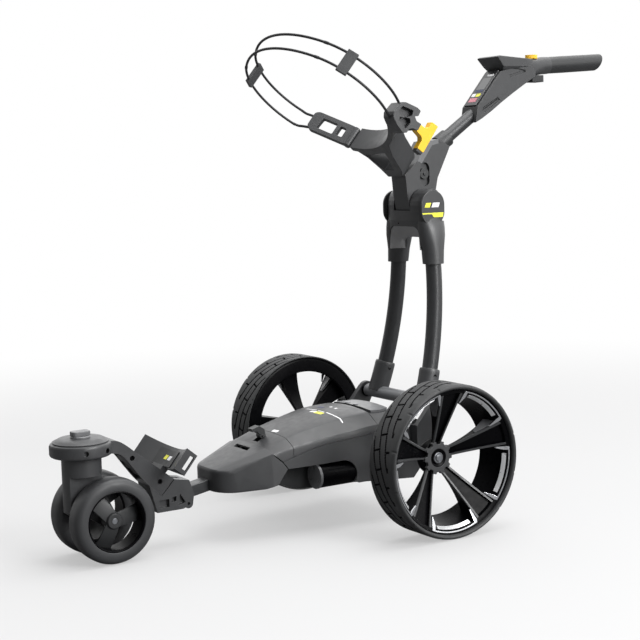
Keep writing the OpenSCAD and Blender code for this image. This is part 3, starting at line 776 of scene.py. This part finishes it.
def body_top(x, y):
    """The height of the body's upper surface."""
    _, top, top_z, edge, edge_z, _, _, crown = body_row(y)
    if abs(x) < top:
        return top_z + crown * (1 - (x / top) ** 2)
    return top_z + (edge_z - top_z) * (abs(x) - top) / (edge - top)


def body_ring(y, inset):
    _, top, top_z, edge, edge_z, side, foot, crown = body_row(y)
    drop = edge_z - foot
    half = [
        (side, foot), (edge + (side - edge) * 0.05, edge_z - drop * 0.05),
        (edge - (edge - top) * 0.06, edge_z + (top_z - edge_z) * 0.06),
        (top + (edge - top) * 0.08, top_z - (top_z - edge_z) * 0.08),
        (top * 0.95, top_z + crown * 0.0975)
    ]
    half += [(top * f, top_z + crown * (1 - f * f)) for f in (0.8, 0.6, 0.4, 0.2)]
    half = [(x - inset, z - (inset if z > foot else 0)) for x, z in half]
    ring = half + [(0, top_z + crown - inset)] + [(-x, z) for x, z in reversed(half)]
    return [(x, y, z) for x, z in ring]


def body_loft(low, high, inset=0.0, steps=40):
    return skin([body_ring(low + (high - low) * i / steps, inset) for i in range(steps + 1)])


def body_part(make, node, tag, low, high, outline, wall, reach, hollow, cuts=()):
    """A stretch of the body kept inside a side outline and hollowed from within."""
    inner = to_object("inner", body_loft(*reach, wall))
    combine(inner, prism(hollow, -150, 150), "INTERSECT")
    cavity = bmesh.new()
    cavity.from_mesh(inner.data)
    bpy.data.objects.remove(inner)
    cuts = [placed(cavity, TO_FRAME.inverted()), *cuts]
    make(node, tag, body_loft(low, high), keep=prism(outline, -160, 160), cuts=cuts, bevel=0.6)


def motor_bores():
    return joined(*[moved(rod(26.6, -134, -90, "y"), x=x, z=118) for x in (-92, 92)])


def drawbar_slot():
    return prism([(-498, 88), (-262, 128.5), (-262, 153), (-498, 112)], -16, 16)


LID_RIM = curve_through([(-271, 160.5), (-246.5, 168), (-181, 185), (-82, 195), (-46, 199.5)], 6)
LID_HINGE = {"y": -45.2, "z": 233.7}
LID_CLEARANCE = 12.0
STEM_HINGE = {"y": 100, "z": 245}


def build_body():
    """The lid in two stretches, the shell with its hinge lugs and the rear cover."""
    front_line = [p for p in LID_RIM if p[0] < -247.6] + [(-247.6, 167.7)]
    body_part(stand_in, "battery_lid", "front", -294, -247,
              front_line + [(-247.6, 240), (-293.5, 240), (-293.5, 179)], 3,
              (-290.5, -247), [(-290.5, 140), (-250.6, 140), (-250.6, 240), (-290.5, 240)],
              [block((-9.8, -300, 190), (9.8, -262, 240))])
    main_line = [(-246.6, 168.2)] + [p for p in LID_RIM if p[0] > -246]
    body_part(detail, "battery_lid", "main", -247, -45,
              main_line + [(-46, 260), (-246.6, 260)], 3,
              (-243.6, -49), [(-243.6, 140), (-49, 140), (-49, 260), (-243.6, 260)])
    rim = [(y, z - 0.7) for y, z in LID_RIM]
    mouth = arc(-134, 118, 30, 90, -40, 12)
    side = rim + [(-44.5, 232), (14, 232), (77, 206), (77, 125), (40, 88)] + mouth[::-1]
    side += [(-139, 148), (-177, 146), (-260, 144)]
    hollow = [(-252, 149), (-108, 154), (-100, 92), (38, 92), (72, 128), (72, 203), (12, 227),
              (-41, 227), (-41, 270), (-252, 270)]
    body_part(stand_in, "body_shell", "sides", -280, 78, side, 3.5, (-262, 73), hollow,
              [motor_bores(), drawbar_slot(), moved(rod(24, 110, 140), z=WHEEL_R),
               moved(rod(24, -140, -110), z=WHEEL_R)])
    for mirror in (1, -1):
        lug = joined(
            moved(rod(20, 132, 145, chamfer=1.5), **STEM_HINGE),
            prism([(38, 160), (76, 160), (119, 240), (100, 245), (84, 257), (38, 205)], 132, 145),
            prism([(38, 160), (76, 160), (76, 205), (38, 205)], 100, 133))
        detail("body_shell", "lug_%d" % (mirror + 1), lug,
               place=Matrix.Diagonal((mirror, 1, 1, 1)), bevel=1.2)
    plate_edge = [(-72, -42), (72, -42), (76, -10), (68, 13.5), (-68, 13.5), (-76, -10)]
    stand_in("rear_cover", "plate", body_loft(-43, 13.5, -0.6), bevel=0.6,
             keep=prism(plate_edge, 232.5, 260, "z"),
             cuts=[moved(rod(LID_CLEARANCE, -90, 90), **LID_HINGE)])
    for n, x in enumerate((-22, 10)):
        button = moved(rod(6, 0, 2.2, "z", chamfer=0.8), x=x, y=-30, z=body_top(x, -30) + 0.4)
        detail("rear_cover", "button_%d" % n, button, "light_casting", bevel=0)


def nose_mesh(inset=0.0):
    points = []
    for z, r in ((104 + inset, 56), (106 + inset, 59), (110, 60), (144, 60), (148.5 - inset, 59),
                 (151.5 - inset, 56.5), (152.8 - inset, 52)):
        for x in (-19, 19):
            points += [(x + px, -350 + py, z) for px, py in arc(0, 0, r - 4 - inset, 0, 360, 64)]
    for y, crown, rows in ((-296, 2, ((74, 181), (91, 178), (97, 108 + inset))),
                           (-262, 3, ((72, 197), (95, 184), (101, 108 + inset)))):
        top = rows[0]
        for side in (-1, 1):
            points += [(side * (x - inset), y, z - (inset if z > 120 else 0)) for x, z in rows]
            points += [(side * top[0] * f, y, top[1] + crown * (1 - f * f) - inset)
                       for f in (0, 0.3, 0.6, 0.85)]
    return wrapped(points)


def build_nose():
    """The nose cover with a recess for the catch, and the recess's floor."""
    outline = [(-414, 103), (-330, 103), (-286, 113), (-262, 144), (-273, 158.5), (-294.6, 178.3),
               (-294.6, 200), (-414, 200)]
    recess = prism([(-30, -319), (28, -319), (24, -308), (-34, -308)], 160, 220, "z")
    stand_in("nose_cover", "shell", nose_mesh(), bevel=1.0, keep=prism(outline, -130, 130),
             cuts=[nose_mesh(3.0), drawbar_slot(), recess])
    floor = prism([(-33, -322), (31, -322), (27, -305), (-37, -305)], 170, 173, "z")
    detail("nose_cover", "recess", floor, "dark_plastic", bevel=0.5)


def laid(x_low, x_high, y_low, y_high, slant=0.0, steps=12, lift=0.35):
    """A thin print lying on the body's upper surface."""
    rings = []
    for i in range(steps + 1):
        share = i / steps
        x = x_low + (x_high - x_low) * share
        low, high = y_low + slant * share, y_high + slant * share
        rings.append([(x, y, body_top(x, y) + rise) for y, rise in (
            (low, lift), (high, lift), (high, -1.2), (low, -1.2))])
    return skin(rings)


def build_lid_prints():
    for name, values, paint in (
            ("quad", (4, 22, -245, -237, 2), "white_print"),
            ("stripe_a", (-46, -8, -126, -123.4, 3), "white_print"),
            ("stripe_b", (30, 92, -121.5, -118.6, 1), "white_print"),
            ("stripe_c", (2, 24, -124, -121.6, 1), "white_print"),
            ("mark_a", (-12, 4, -138, -130, 3), "white_print"),
            ("mark_b", (5, 30, -138, -128, 3), "yellow_print"),
            ("tag_a", (-34, -14, -104, -96, 0), "navy_print"),
            ("tag_b", (-6, 0, -90, -84, 0), "white_print"),
            ("tag_c", (14, 20, -90, -84, 0), "white_print")):
        detail("battery_lid", name, laid(*values), "label_black", paint, bevel=0)


build_body()
build_nose()
build_lid_prints()

# ---------- stem foot and yoke ----------

STEM_TOP = Vector((66, 149.6, 545))
STEM_BEND = 920
STEM_SPLAY = math.radians(4.7)
KNEE = (150, 676)


def stem_path(side, low, high, steps=16):
    """Points on a stem tube's bent centre line between two heights from its top."""
    points = []
    for i in range(steps + 1):
        rise = low + (high - low) * i / steps
        back = math.sqrt(STEM_BEND ** 2 - rise ** 2) - STEM_BEND
        points.append((side * (STEM_TOP.x - rise * math.sin(STEM_SPLAY)), STEM_TOP.y + back,
                       STEM_TOP.z + rise * math.cos(STEM_SPLAY)))
    return points


def build_stem_foot():
    sleeves = []
    for side in (-1, 1):
        path = stem_path(side, -300, -231)
        sleeves.append(swept(path, [23] * (len(path) - 1) + [21.6], 56))
    collars = stand_in("lower_collars", "sleeves", joined(*sleeves), bevel=0.6)
    combine(collars, moved(rod(13.4, -140, 140), **STEM_HINGE))
    barrel = moved(rod(14.4, -131, 131, chamfer=2.5, steps=72), **STEM_HINGE)
    stand_in("stem_barrel", "tube", barrel, bevel=0.5)
    for side in (-1, 1):
        point = Vector(stem_path(side, -245, -244, 1)[0])
        screw = moved(rod(4.2, 22.2, 23.6, chamfer=0.4), x=point.x - 0.6, y=point.y, z=point.z)
        detail("lower_collars", "screw_%d" % (side + 1), screw, "gloss_black", bevel=0)


def squircle(cx, cy, z, hx, hy, power, steps=56):
    """A rounded rectangle ring; a higher power is squarer."""
    ring = []
    for i in range(steps):
        a = 2 * math.pi * i / steps
        c, t = math.cos(a), math.sin(a)
        ring.append((cx + hx * math.copysign(abs(c) ** (2 / power), c),
                     cy + hy * math.copysign(abs(t) ** (2 / power), t), z))
    return ring


def yoke_leg(side):
    """A yoke leg: a round collar that grows into the knee block above it."""
    rows = [(546, 66.5, 149, 23.5, 23.5, 2.0), (575, 64.2, 150, 24, 25, 2.1),
            (592, 62.4, 150, 24.6, 28, 2.2), (608, 60.6, 150, 25, 31, 2.3),
            (625, 58.6, 150, 24, 32, 2.5), (640, 56.8, 150, 20, 32, 2.9)]
    return skin([squircle(side * cx, cy, z, hx, hy, power) for z, cx, cy, hx, hy, power in rows])


def knee_block():
    """The block that joins both legs and rounds over the knee."""
    rows = [(588, 83, 26, 3.3), (598, 82.4, 29, 3.3), (608, 81.4, 31.5, 3.3), (618, 80, 33.6, 3.3),
            (630, 78, 35, 3.3), (642, 75.6, 36, 3.4), (656, 73, 36, 3.5), (668, 71.4, 36, 3.8),
            (676, 71, 36, 4), (686, 71, 34.6, 4.2), (695, 71, 30.6, 4.4), (702, 71, 24.9, 4.6),
            (707, 71, 18.3, 4.8), (710, 71, 12, 5), (711.5, 71, 6, 5)]
    return skin([squircle(0, KNEE[0], z, hx, hy, power, 96) for z, hx, hy, power in rows])


def knee_slot():
    """The room the neck needs between the ears, upright and folded back."""
    return prism([(90, 664), (117, 664), (121, 656), (127, 648), (144, 626), (172, 590), (230, 590),
                  (230, 760), (90, 760)], -31, 31)


def yoke_arch(foot, half, top, radius, steps=10):
    """An upside-down U, wider at its feet, as (x, z) pairs from one foot to the other."""
    low = 577
    return ([(foot, low)] + arc(half - radius, top - radius, radius, 0, 90, steps)
            + arc(radius - half, top - radius, radius, 90, 180, steps) + [(-foot, low)])


# foot half width, half width, top height and corner radius at the liner's two ends
LINER_FRONT = (57.6, 54.4, 629.6, 17)
LINER_BACK = (43.5, 43.5, 605, 15)


def yoke_funnel():
    """The room inside the pale liner."""
    return skin([[(x, y, z) for x, z in yoke_arch(*values)] for y, values in (
        (90, LINER_FRONT), (121, LINER_FRONT), (153, LINER_BACK))])


def yoke_liner():
    """The pale funnel under the knee, wide at the front and narrow at the back; its paint is its
    own light grey brightened with painted light.
    """
    rings = []
    for y, values in ((121, LINER_FRONT), (153, LINER_BACK)):
        inner = yoke_arch(*[value - 2 for value in values])[::-1]
        rings.append([(x, y, z) for x, z in yoke_arch(*values) + inner])
    return skin(rings)


def hinge_prints():
    """The plain marks on a hinge cap: a tag, a side outline in (y, z) and a finish."""
    return (("a", [(122, 671), (136, 671), (140, 681), (126, 681)], "yellow_print"),
            ("b", [(141, 671), (160, 671), (164, 681), (145, 681)], "white_print"),
            ("c", [(116.5, 656), (142, 656), (146.5, 649), (172, 649), (174, 659), (115.6, 659)],
             "yellow_print"))


def build_yoke():
    """Two legs, the knee block with its front cover and liner, and a cap on each side."""
    for side in (-1, 1):
        detail("stem_yoke", "leg_%d" % (side + 1), yoke_leg(side), bevel=0.4, cuts=[yoke_funnel()])
    arch = [(57, 540)] + yoke_arch(57, 53.6, 629, 17) + [(-57, 540)]
    front_box = ((-56, 100, 560), (56, 121, 663.6))
    stand_in("stem_yoke", "knee", knee_block(), bevel=None,
             cuts=[prism(arch, 60, 240, "y"), knee_slot(), block(*front_box)])
    stand_in("yoke_front_cover", "plate", knee_block(), paint="charcoal_plastic", bevel=None,
             keep=block(*front_box), cuts=[prism(arch, 60, 240, "y"), knee_slot(),
                                           moved(rod(1.9, 100, 130, "y"), x=-14, z=635)])
    # The liner's paint is brighter than grey plastic: its own pale tone plus painted light.
    detail("stem_yoke", "liner", yoke_liner(), "grey_plastic", "lit_pale_liner", bevel=0)
    for side, make in ((-1, stand_in), (1, detail)):
        cap = prism(stadium(146, 662, 677, 31.4), *sided(side, 69.5, 74.6))
        make("hinge_caps", "cap_%d" % (side + 1), cap, bevel=1.2)
        for tag, outline, paint in hinge_prints():
            detail("hinge_caps", "print_%s_%d" % (tag, side + 1),
                   prism(outline, *sided(side, 74, 74.9)), "label_black", paint, bevel=0)


build_stem_foot()
build_yoke()

# ---------- console ----------

LABEL_FOOT = Vector((0, 315, 895))
LABEL_RUN = Vector((0, 69, 80))


def label_patch(x_low, x_high, low, high, lift, radius=0.6):
    """A thin rounded patch on the console's sloping front; low and high are shares of its run."""
    length = LABEL_RUN.length
    flat = rounded([(x_low, low * length), (x_high, low * length), (x_high, high * length),
                    (x_low, high * length)], radius)
    bm = prism(flat, -1.0, lift, "z")
    up = LABEL_RUN.normalized()
    out = Vector((1, 0, 0)).cross(up)
    turn = Matrix((Vector((1, 0, 0)), up, out)).transposed().to_4x4()
    return placed(bm, Matrix.Translation(LABEL_FOOT) @ turn)


def build_labels():
    for name, values, paint in (
            ("window", (-14, 16, 0.44, 0.78, 4.0), "screen_glass"),
            ("bar", (-12, 14, 0.38, 0.43, 4.0), "navy_print"),
            ("title", (-6, 16, 0.83, 0.88, 3.9), "white_print"),
            ("mark_a", (-16, -3, 0.24, 0.33, 3.9), "white_print"),
            ("mark_b", (0, 14, 0.24, 0.33, 3.9), "yellow_print"),
            ("mark_c", (-14, 12, 0.09, 0.20, 3.9), "rose_print")):
        detail("pod_front_panel", name, label_patch(*values), "label_black", paint, bevel=0)


def pod_ring(y, half, low, high, power):
    """A rounded upright section of the console at y."""
    flat = squircle(0, (low + high) / 2, 0, half, (high - low) / 2, power, 48)
    return [(x, y, z) for x, z, _ in flat]


def rib_side(y):
    """One slanting rib of the console's cheek, following its lower edge."""
    rise = (y - 325) * 0.55
    return [(y + across, z + rise) for across, z in (
        (0, 882.5), (1.4, 883.3), (-2.6, 888.8), (-4, 888.0))]


def build_pod():
    """The console: a wedge body, an angular hood and a tail that flows into the grip."""
    body = prism([(307, 857), (313, 893), (382, 974), (470, 990), (489, 975), (487, 963),
                  (457, 946.4), (421, 925.6), (386, 904.3), (356, 884.3), (327, 867)], -28, 28)
    slot = [(325, 884), (331, 879), (380, 909), (374, 915)]
    chevron = [(404, 986), (404, 982), (444, 975), (408, 965), (410, 960), (457, 972.6), (457, 977)]
    stand_in("pod_housing", "body", body, bevel=2.2, steps=3,
             cuts=[prism(outline, *sided(side, 24.5, 30)) for side in (1, -1)
                   for outline in (slot, chevron)])
    hood = wrapped([(side * x, y, z) for side in (-1, 1) for x, y, z in (
        (38, 366, 1006), (37, 372, 1009), (36, 385, 985), (28, 390, 976), (30, 455, 1004.5),
        (22, 486, 1003), (28, 470, 986), (22, 489, 984))])
    detail("pod_housing", "hood", hood, bevel=1.6, steps=3)
    tail = skin([pod_ring(*values) for values in (
        (455, 27, 962, 1003, 5.0), (478, 25.5, 963, 1003.5, 4.0), (500, 23, 965.5, 1005, 3.0),
        (518, 21, 968.5, 1009, 2.3), (530, 20.4, 969.8, 1010.6, 2.0),
        (546, 20.2, 971, 1011.2, 2.0))])
    detail("pod_housing", "tail", tail, bevel=0)
    ribs = joined(*[prism(rib_side(y), side * 26, side * 28)
                    for side in (-1, 1) for y in range(332, 378, 4)])
    detail("pod_housing", "ribs", ribs, "dark_plastic", bevel=0)


def build_grip():
    """The round grip, with its end cut at a slant."""
    low, high = Vector((0, 540, 990.8)), Vector((0, 717, 1001.5))
    run = (high - low).normalized()
    side, up = Vector((1, 0, 0)), Vector((1, 0, 0)).cross(run) * -1
    rings = []
    for share, radius in ((0, 19.5), (0.3, 19.8), (0.7, 19.6), (0.985, 19.5), (1.0, 18.3)):
        slope = 9 if share > 0.9 else 0
        ring = []
        for i in range(64):
            a = 2 * math.pi * i / 64
            point = low + (high - low) * share + (side * math.cos(a) + up * math.sin(a)) * radius
            ring.append(point + run * (-slope * math.sin(a) - slope))
        rings.append(ring)
    stand_in("grip", "sleeve", skin(rings), bevel=0)


def build_dial():
    """The low thumb wheel on top of the console, with fine teeth round its edge."""
    wheel = prism(toothed(36, 13.6, 14.2, 0.12), 1005.5, 1014.6, "z")
    stand_in("speed_dial", "wheel", moved(wheel, y=499), bevel=1.0)
    detail("speed_dial", "stem", moved(rod(5.8, 988, 1006, "z"), y=499), bevel=0)


build_labels()
build_pod()
build_grip()
build_dial()

# ---------- front arm ----------

SWIVEL_Y = -678.0
ARM_SCREWS = ((-643, 226), (-581, 199), (-522, 143))


def build_arm():
    """The arm and its round head as one smooth casting, hollow and ribbed underneath."""
    top = curve_through([(-650, 240), (-625, 240), (-602, 233), (-563, 202), (-491, 144.5)], 8)
    under = curve_through([(-519, 114.5), (-549.5, 141), (-573, 170), (-600, 205), (-622, 214),
                           (-650, 215)], 8)
    shell = to_object("front_arm_shells_casting", prism(top + under, -28, 28))
    head = [(0, 214), (57, 214), (60.5, 216), (62, 219), (62, 235), (60, 239), (55, 241.5),
            (0, 243)]
    combine(shell, moved(turned(head, 128, "z"), y=SWIVEL_Y), "UNION")
    combine(shell, prism([(-616, 190), (-616, 217), (-598, 212), (-566, 176), (-548, 153),
                          (-560, 130)], -22, 22))
    for y, z in ARM_SCREWS:
        combine(shell, moved(rod(5.4, -70, 70, steps=32), y=y, z=z))
    for side in (-1, 1):
        combine(shell, moved(rod(5.4, *sided(side, 54, 70), steps=32), y=-692, z=227))
    soften(shell, 1.6, 3)
    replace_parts(dress(shell, "front_arm_shells"), "front_arm_shells")
    ribs = [prism([(y, z), (y + 2.4, z + 1.6), (y - 6, z + 16), (y - 9, z + 14)], -21.8, 21.8)
            for y, z in ((-560, 158), (-573, 172), (-586, 188))]
    detail("front_arm_shells", "ribs", joined(*ribs), "dark_plastic", bevel=0.4)
    screws = [moved(rod(4.6, *sided(side, 22, 24)), y=y, z=z) for side in (-1, 1)
              for y, z in ARM_SCREWS]
    screws.append(moved(rod(3, -29, 29, chamfer=0.6), y=-459, z=88))
    stand_in("arm_screws", "heads", joined(*screws), "gloss_black", bevel=0)


def build_head_cover():
    """The domed cap over the caster's head and the knob that locks the swivel."""
    dome = [(0, 240.4), (55, 241.2), (56, 243), (50, 245.8), (44, 249), (0, 250.4)]
    stand_in("caster_head", "dome", moved(turned(dome, 128, "z"), y=SWIVEL_Y), bevel=0.3)
    knob = turned([(0, 249.6), (20, 249.6), (20, 252), (18, 253.4), (0, 253.4)], 72, "z")
    stand_in("caster_lock_knob", "disc", moved(knob, y=SWIVEL_Y), bevel=0.4)
    grip = prism(rounded([(-12, -19), (12, -19), (12, 19), (-12, 19)], 8), 252.6, 263, "z")
    detail("caster_lock_knob", "grip", moved(grip, y=SWIVEL_Y), bevel=2.0, steps=3)


REST_S, REST_R = 500.6, 200.0


def rest_curve(x):
    """Where the rest's hollow front lies at x, in the bag's tilted frame."""
    return math.sqrt(REST_R ** 2 - x ** 2) - (REST_S + 193)


def rest_patch(x_low, x_high, low, high, lift, slant=0.0):
    """A thin patch laid on the hollow front of the bag rest."""
    rings = []
    for i in range(9):
        x = x_low + (x_high - x_low) * i / 8
        end = x + slant
        rings.append([(x, rest_curve(x) + 1, low), (x, rest_curve(x) - lift, low),
                      (end, rest_curve(end) - lift, high), (end, rest_curve(end) + 1, high)])
    return skin(rings)


def build_bag_rest():
    """The lower bag rest: a curved panel, open-backed wings with a strap slot in each side."""
    s, low, high = REST_S, -197, -149
    curve = [(x, rest_curve(x)) for x in range(-96, 97, 6)]
    outline = [(96, -s + 12), (-96, -s + 12), (-96, curve[0][1])] + curve + [(96, curve[-1][1])]
    panel = to_object("lower_bag_support_panel", prism(outline, low, high, "z"), BAG)
    combine(panel, block((-22, -s - 3, low - 12), (22, -s + 12, low + 2)), "UNION", BAG)
    for side in (-1, 1):
        for reach, front, back, below, above in (
                ((63, 91.5), -2.5, 30, 6, -5),
                ((86, 100), -1.5, 8, 9, -8),
                ((57, 59), -30, -2, -1, 1)):
            near, far = sided(side, *reach)
            combine(panel, block((near, -s + front, low + below), (far, -s + back, high + above)),
                    place=BAG)
    arm_room = [(-700, 240)] + [(y, z + 0.1) for y, z in (
        (-623, 240), (-600, 233), (-563, 202), (-491, 144.5), (-519, 114.5), (-660, 150))]
    combine(panel, prism(arm_room, -30, 30))
    soften(panel, 0.9, 2)
    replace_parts(dress(panel, "lower_bag_support"), "lower_bag_support")
    stand_in("bag_support_pad", "face", rest_patch(-38, 42, -194, -157, 2.0), paint="dark_plastic",
             place=BAG, bevel=0)
    for tag, x_low, x_high, paint in (("a", -8, 4, "yellow_print"), ("b", 8, 22, "white_print")):
        detail("bag_support_pad", "mark_" + tag, rest_patch(x_low, x_high, -180, -170, 2.5, 3),
               paint=paint, place=BAG, bevel=0)


build_arm()
build_head_cover()
build_bag_rest()

# ---------- strap buckle, clip and handle ----------

def side_shape(points, low, high):
    """A prism drawn in the bag frame's side view: pairs of distance s and height h."""
    return prism([(-s, h) for s, h in points], low, high)


def build_buckle():
    """The buckle plate, its barrel and the two cord tails behind it."""
    along = Matrix.Translation((-72, -508, 0)) @ Matrix.Rotation(math.radians(216.5), 4, "Z")
    plate = rounded([(3, 633), (100, 633), (110, 640), (110, 676), (100, 682), (3, 682)], 5)
    windows = ([(20, 645), (36, 645), (36, 669), (20, 669)],
               [(45, 643), (87, 643), (84, 671), (45, 671)])
    stand_in("strap_buckle", "plate", placed(prism(plate, -6, 6, "y"), along), place=BAG, bevel=2.0,
             steps=3, cuts=[placed(prism(rounded(window, 3), -20, 20, "y"), along)
                            for window in windows])
    barrel = moved(rod(8.4, 632, 682, "z", chamfer=1.5), x=-72, y=-508)
    detail("strap_buckle", "barrel", barrel, place=BAG, bevel=0)
    tails = []
    for h, end in ((632, 640), (670, 668)):
        path = curve_through([(-188.5, -594.6), (-182, -584), (-172, -579), (-160, -573),
                              (-152, -567)], 5)
        last = len(path) - 1
        points = [(x, y, h + (end - h) * i / last) for i, (x, y) in enumerate(path)]
        tails.append(swept(points, 2.9, 20))
    detail("strap_buckle", "tails", joined(*tails), "cord_rubber", place=BAG, bevel=0)


def build_clip_and_handle():
    """The clip at the strap's other end, with two pockets, and the T-shaped handle."""
    outline = [(598, 641), (595, 668), (586, 675), (557, 685), (546, 685), (544, 673), (551, 667),
               (541, 662), (528, 665), (527, 649), (539, 645), (546, 639), (546, 627), (556, 622),
               (579, 626), (592, 632)]
    pockets = ([(590, 646), (588, 664), (561, 674), (557, 664), (566, 650)],
               [(576, 634), (580, 642), (558, 656), (551, 650), (553, 632)])
    stand_in("strap_clip", "block", side_shape(rounded(outline, 2), 166, 202), place=BAG, bevel=1.8,
             steps=3, cuts=[side_shape(rounded(pocket, 2.5), 190, 210) for pocket in pockets])
    tee = rounded([(485, 624), (503, 622), (504, 641), (509, 647), (533, 649), (533, 665),
                   (513, 667), (506, 674), (508, 688), (489, 691)], 2.5)
    stand_in("toggle_handle", "body", side_shape(tee, 182, 198), place=BAG, bevel=4.0, steps=4)
    tip = side_shape([(486, 617), (502, 615.5), (502.6, 623.4), (485.6, 625)], 183, 197)
    detail("toggle_handle", "tip", tip, "dark_plastic", place=BAG, bevel=2.0, steps=3)


build_buckle()
build_clip_and_handle()

# ---------- every CAD node whose own shape is kept ----------

OTHER_PAINT = {"motors": "gloss_black", "motor_plates": "grey_plastic"}
OTHER_BEVEL = {"neck_shell": 2.0, "bag_cradle": 1.2, "drawbar": 2.0, "front_bracket": 2.0,
               "caster_fork": 3.0}

for node_name, node_object in sorted(frame["nodes"].items()):
    if not node_object.hide_render:
        refined(node_name, OTHER_BEVEL.get(node_name, 0.8), OTHER_PAINT.get(node_name))

# ---------- floor, light and camera ----------


def build_floor():
    """A wide pale floor that fades to white away from the trolley."""
    bm = bmesh.new()
    bmesh.ops.create_circle(bm, cap_ends=True, segments=96, radius=40)
    floor = new_object("floor", to_mesh("floor", bm))
    material, tree = node_tree("pale_floor")
    length = add(tree, "VectorMath", {0: (add(tree, "TexCoord"), "Object")}, operation="LENGTH")
    fade = add(tree, "MapRange", {
        "From Min": 0.8, "From Max": 3.2, "To Min": 0.45, "Value": (length, "Value")},
        interpolation_type="SMOOTHSTEP")
    pale = add(tree, "BsdfDiffuse", {"Color": (0.44, 0.44, 0.443, 1)})
    dull = add(tree, "BsdfDiffuse", {"Color": (0.16, 0.16, 0.162, 1)})
    mix = add(tree, "MixShader", {
        0: (fade, "Result"), 1: (pale, "BSDF"), 2: (add(tree, "Emission"), "Emission")})
    seen = add(tree, "MixShader", {
        0: (add(tree, "LightPath"), "Is Camera Ray"), 1: (dull, "BSDF"), 2: (mix, "Shader")})
    add(tree, "OutputMaterial", {"Surface": (seen, "Shader")})
    floor.data.materials.append(material)


def build_world():
    """White to the camera; as light, bright above and to the right, dim in front and low."""
    world = bpy.data.worlds.new("studio")
    bpy.context.scene.world = world
    world.use_nodes = True
    tree = world.node_tree
    tree.nodes.clear()
    brightest = Vector((-0.30, 0.85, 0.35)).normalized()
    facing = add(tree, "VectorMath", {0: (add(tree, "TexCoord"), "Generated"), 1: brightest},
                 operation="DOT_PRODUCT")
    ramp = add(tree, "MapRange", {
        "From Min": -0.5, "From Max": 0.95, "To Min": 0.16, "To Max": 1.9,
        "Value": (facing, "Value")})
    light = add(tree, "Background", {"Color": (1, 1, 1, 1), "Strength": (ramp, "Result")})
    seen = add(tree, "Background", {"Color": (1, 1, 1, 1)})
    mix = add(tree, "MixShader", {
        0: (add(tree, "LightPath"), "Is Camera Ray"), 1: (light, "Background"),
        2: (seen, "Background")})
    add(tree, "OutputWorld", {"Surface": (mix, "Shader")})


def area_light(name, position, target, size, watts):
    data = bpy.data.lights.new(name, "AREA")
    data.size = size
    data.energy = watts
    lamp = new_object(name, data)
    lamp.location = position
    aim = (Vector(target) - Vector(position)).to_track_quat("-Z", "Y")
    lamp.rotation_euler = aim.to_euler()


def build_camera():
    """The camera looks at a point in the axle frame from the given angles and distance."""
    azimuth, elevation = math.radians(57.61), math.radians(6.26)
    roll, distance = math.radians(-1.58), 2.994
    back = Vector((math.sin(azimuth) * math.cos(elevation),
                   -math.cos(azimuth) * math.cos(elevation), math.sin(elevation)))
    level = (-back).cross(Vector((0, 0, 1))).normalized()
    rise = level.cross(-back)
    right = level * math.cos(roll) + rise * math.sin(roll)
    up = rise * math.cos(roll) - level * math.sin(roll)
    turn = Matrix((right, up, back)).transposed().to_4x4()
    data = bpy.data.cameras.new("camera")
    data.lens = 79.2
    data.sensor_width = 36
    data.clip_end = 200
    camera = new_object("camera", data)
    camera.matrix_world = Matrix.Translation(at(54, -145, 443) + back * distance) @ turn
    bpy.context.scene.camera = camera


build_floor()
build_world()
area_light("key", (3.6, 0.9, 2.0), (0, 0, 0.4), 2.0, 150)
area_light("top", (0.3, 0.4, 3.6), (0, -0.2, 0.2), 2.6, 85)
area_light("front", (-1.4, -3.4, 1.8), (0, 0, 0.5), 2.0, 6)
build_camera()
bpy.context.scene.view_settings.view_transform = "Standard"
